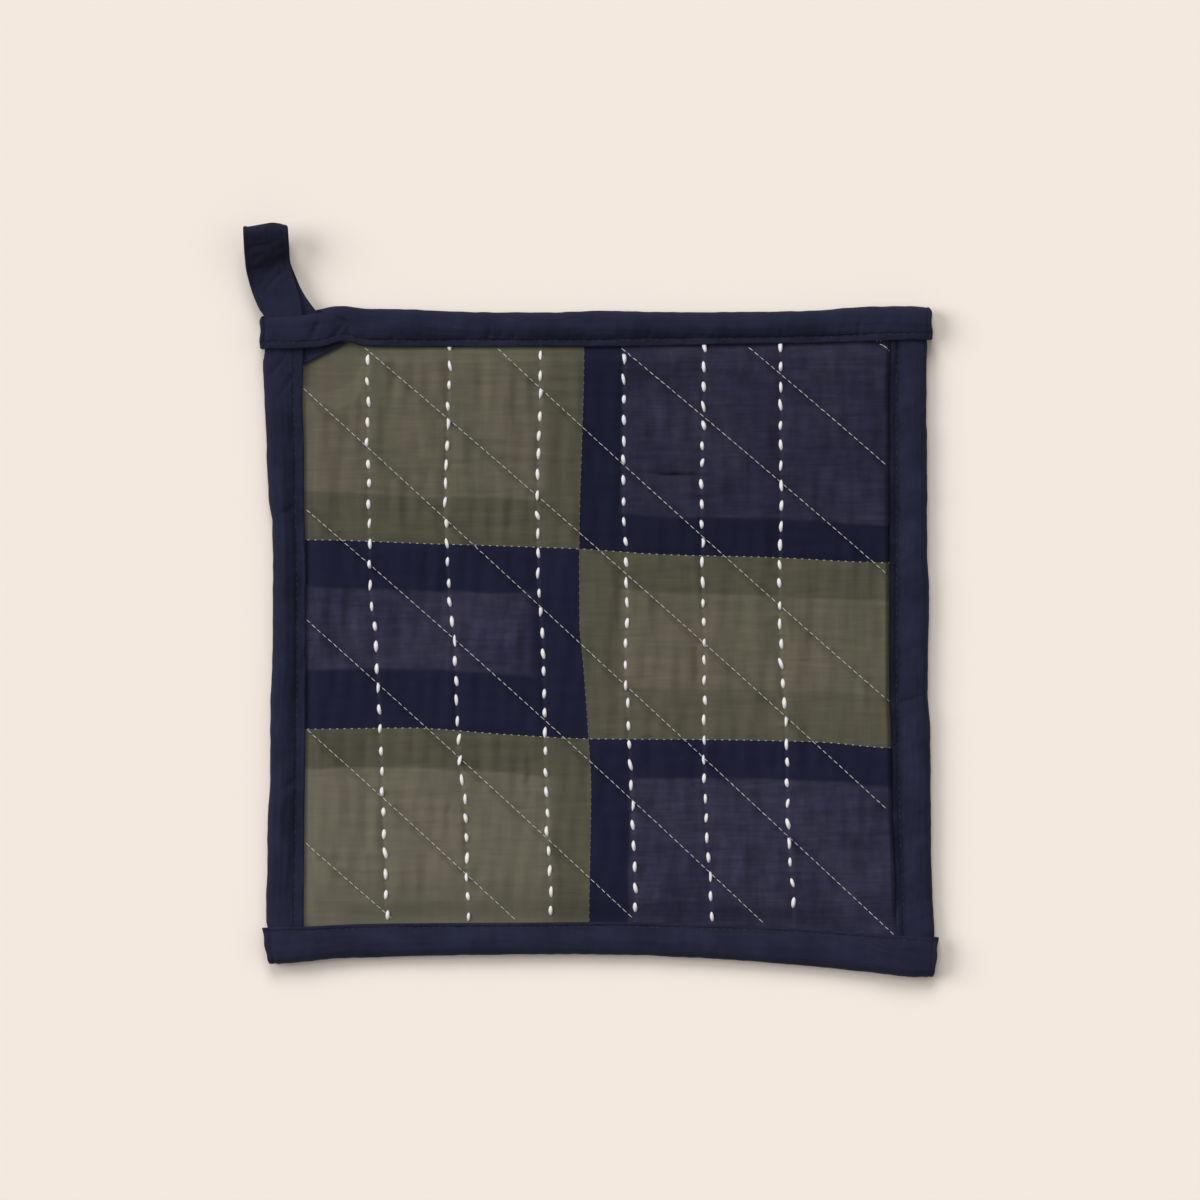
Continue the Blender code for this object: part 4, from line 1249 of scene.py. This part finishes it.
def soft_sun(name, azimuth, height, spread, power):
    """Even light from a wide patch of sky. azimuth turns from +X towards +Y; power is what falls on the
    surface below, in watts per square metre."""
    data = bpy.data.lights.new(name, "SUN")
    turn, rise = math.radians(azimuth), math.radians(height)
    data.angle = math.radians(spread)
    data.energy = power / math.sin(rise)
    add(name, data).rotation_euler = (0, math.pi / 2 - rise, turn)


def studio():
    """Soft light mostly from the upper left, and a camera straight above."""
    world = bpy.data.worlds.new("studio")
    world.use_nodes = True
    sky = world.node_tree.nodes["Background"].inputs
    sky["Color"].default_value = (*SKY_TONE, 1)
    sky["Strength"].default_value = SKY
    scene = bpy.context.scene
    scene.world = world
    scene.view_settings.view_transform = "Standard"
    for sun in SUNS:
        soft_sun(*sun)
    data = bpy.data.cameras.new("camera")
    data.sensor_width = SENSOR
    data.lens = SENSOR * CAMERA_HEIGHT / PHOTO_WIDTH
    camera = add("camera", data)
    camera.location = (PHOTO_CENTRE[0] * MM, PHOTO_CENTRE[1] * MM, CAMERA_HEIGHT * MM)
    scene.camera = camera


def main():
    """Stage, cloth, then stitches."""
    studio()
    floor()
    white = thread("white_thread", THREAD)
    dull = thread("machine_thread", MACHINE_THREAD)
    seam = thread("seam_thread", SEAM_THREAD)
    dim = thread("dim_thread", DIM_THREAD)
    dark = thread("navy_thread", DARK_THREAD)
    strip = navy_cloth("navy_strip", False)
    panel([patchwork_cloth(), navy_cloth("navy_back", True)])
    strips = (
        ("top_strip", "binding_top", TOP, True, 41, (FOLDED_END, PLAIN_END), TOP_EDGE),
        ("bottom_strip", "binding_bottom", BOTTOM, True, 43, (LEDGE_END, PLAIN_END), BOTTOM_EDGE),
        ("left_strip", "binding_left", LEFT, False, 45, (NO_TUCK, NO_TUCK), LEFT_EDGE),
        ("right_strip", "binding_right", RIGHT, False, 47, (NO_TUCK, NO_TUCK), RIGHT_EDGE),
    )
    for name, node, band, *rest in strips:
        made = binding(name, node, band, *rest, strip)
        if band is TOP:
            cut_slot(made)
    loop(strip)
    hand_stitches(white)
    hand_stitches_behind(white)
    thread_ends(white)
    share = np.linspace(0, 1, 300)
    quilted = along_routes([slant_route(slant, share) for slant in SLANTS], 1.2)
    down, *level = seam_routes()
    down, level = along_routes([down], 0.9), along_routes(level, 0.9)
    sewn_line("quilting_stitches", quilted, MACHINE_STITCH, face_height, dull)
    sewn_line("seam_stitches", level, SEAM_STITCH, face_height, seam)
    sewn_line("down_seam_stitches", down, DOWN_SEAM_STITCH, face_height, dim)
    sewn_line("quilting_stitches_behind", quilted, MACHINE_STITCH, back_height, dull, side=-1)
    sewn_line("seam_stitches_behind", level, SEAM_STITCH, back_height, dim, side=-1)
    edge_stitches(dark)


main()
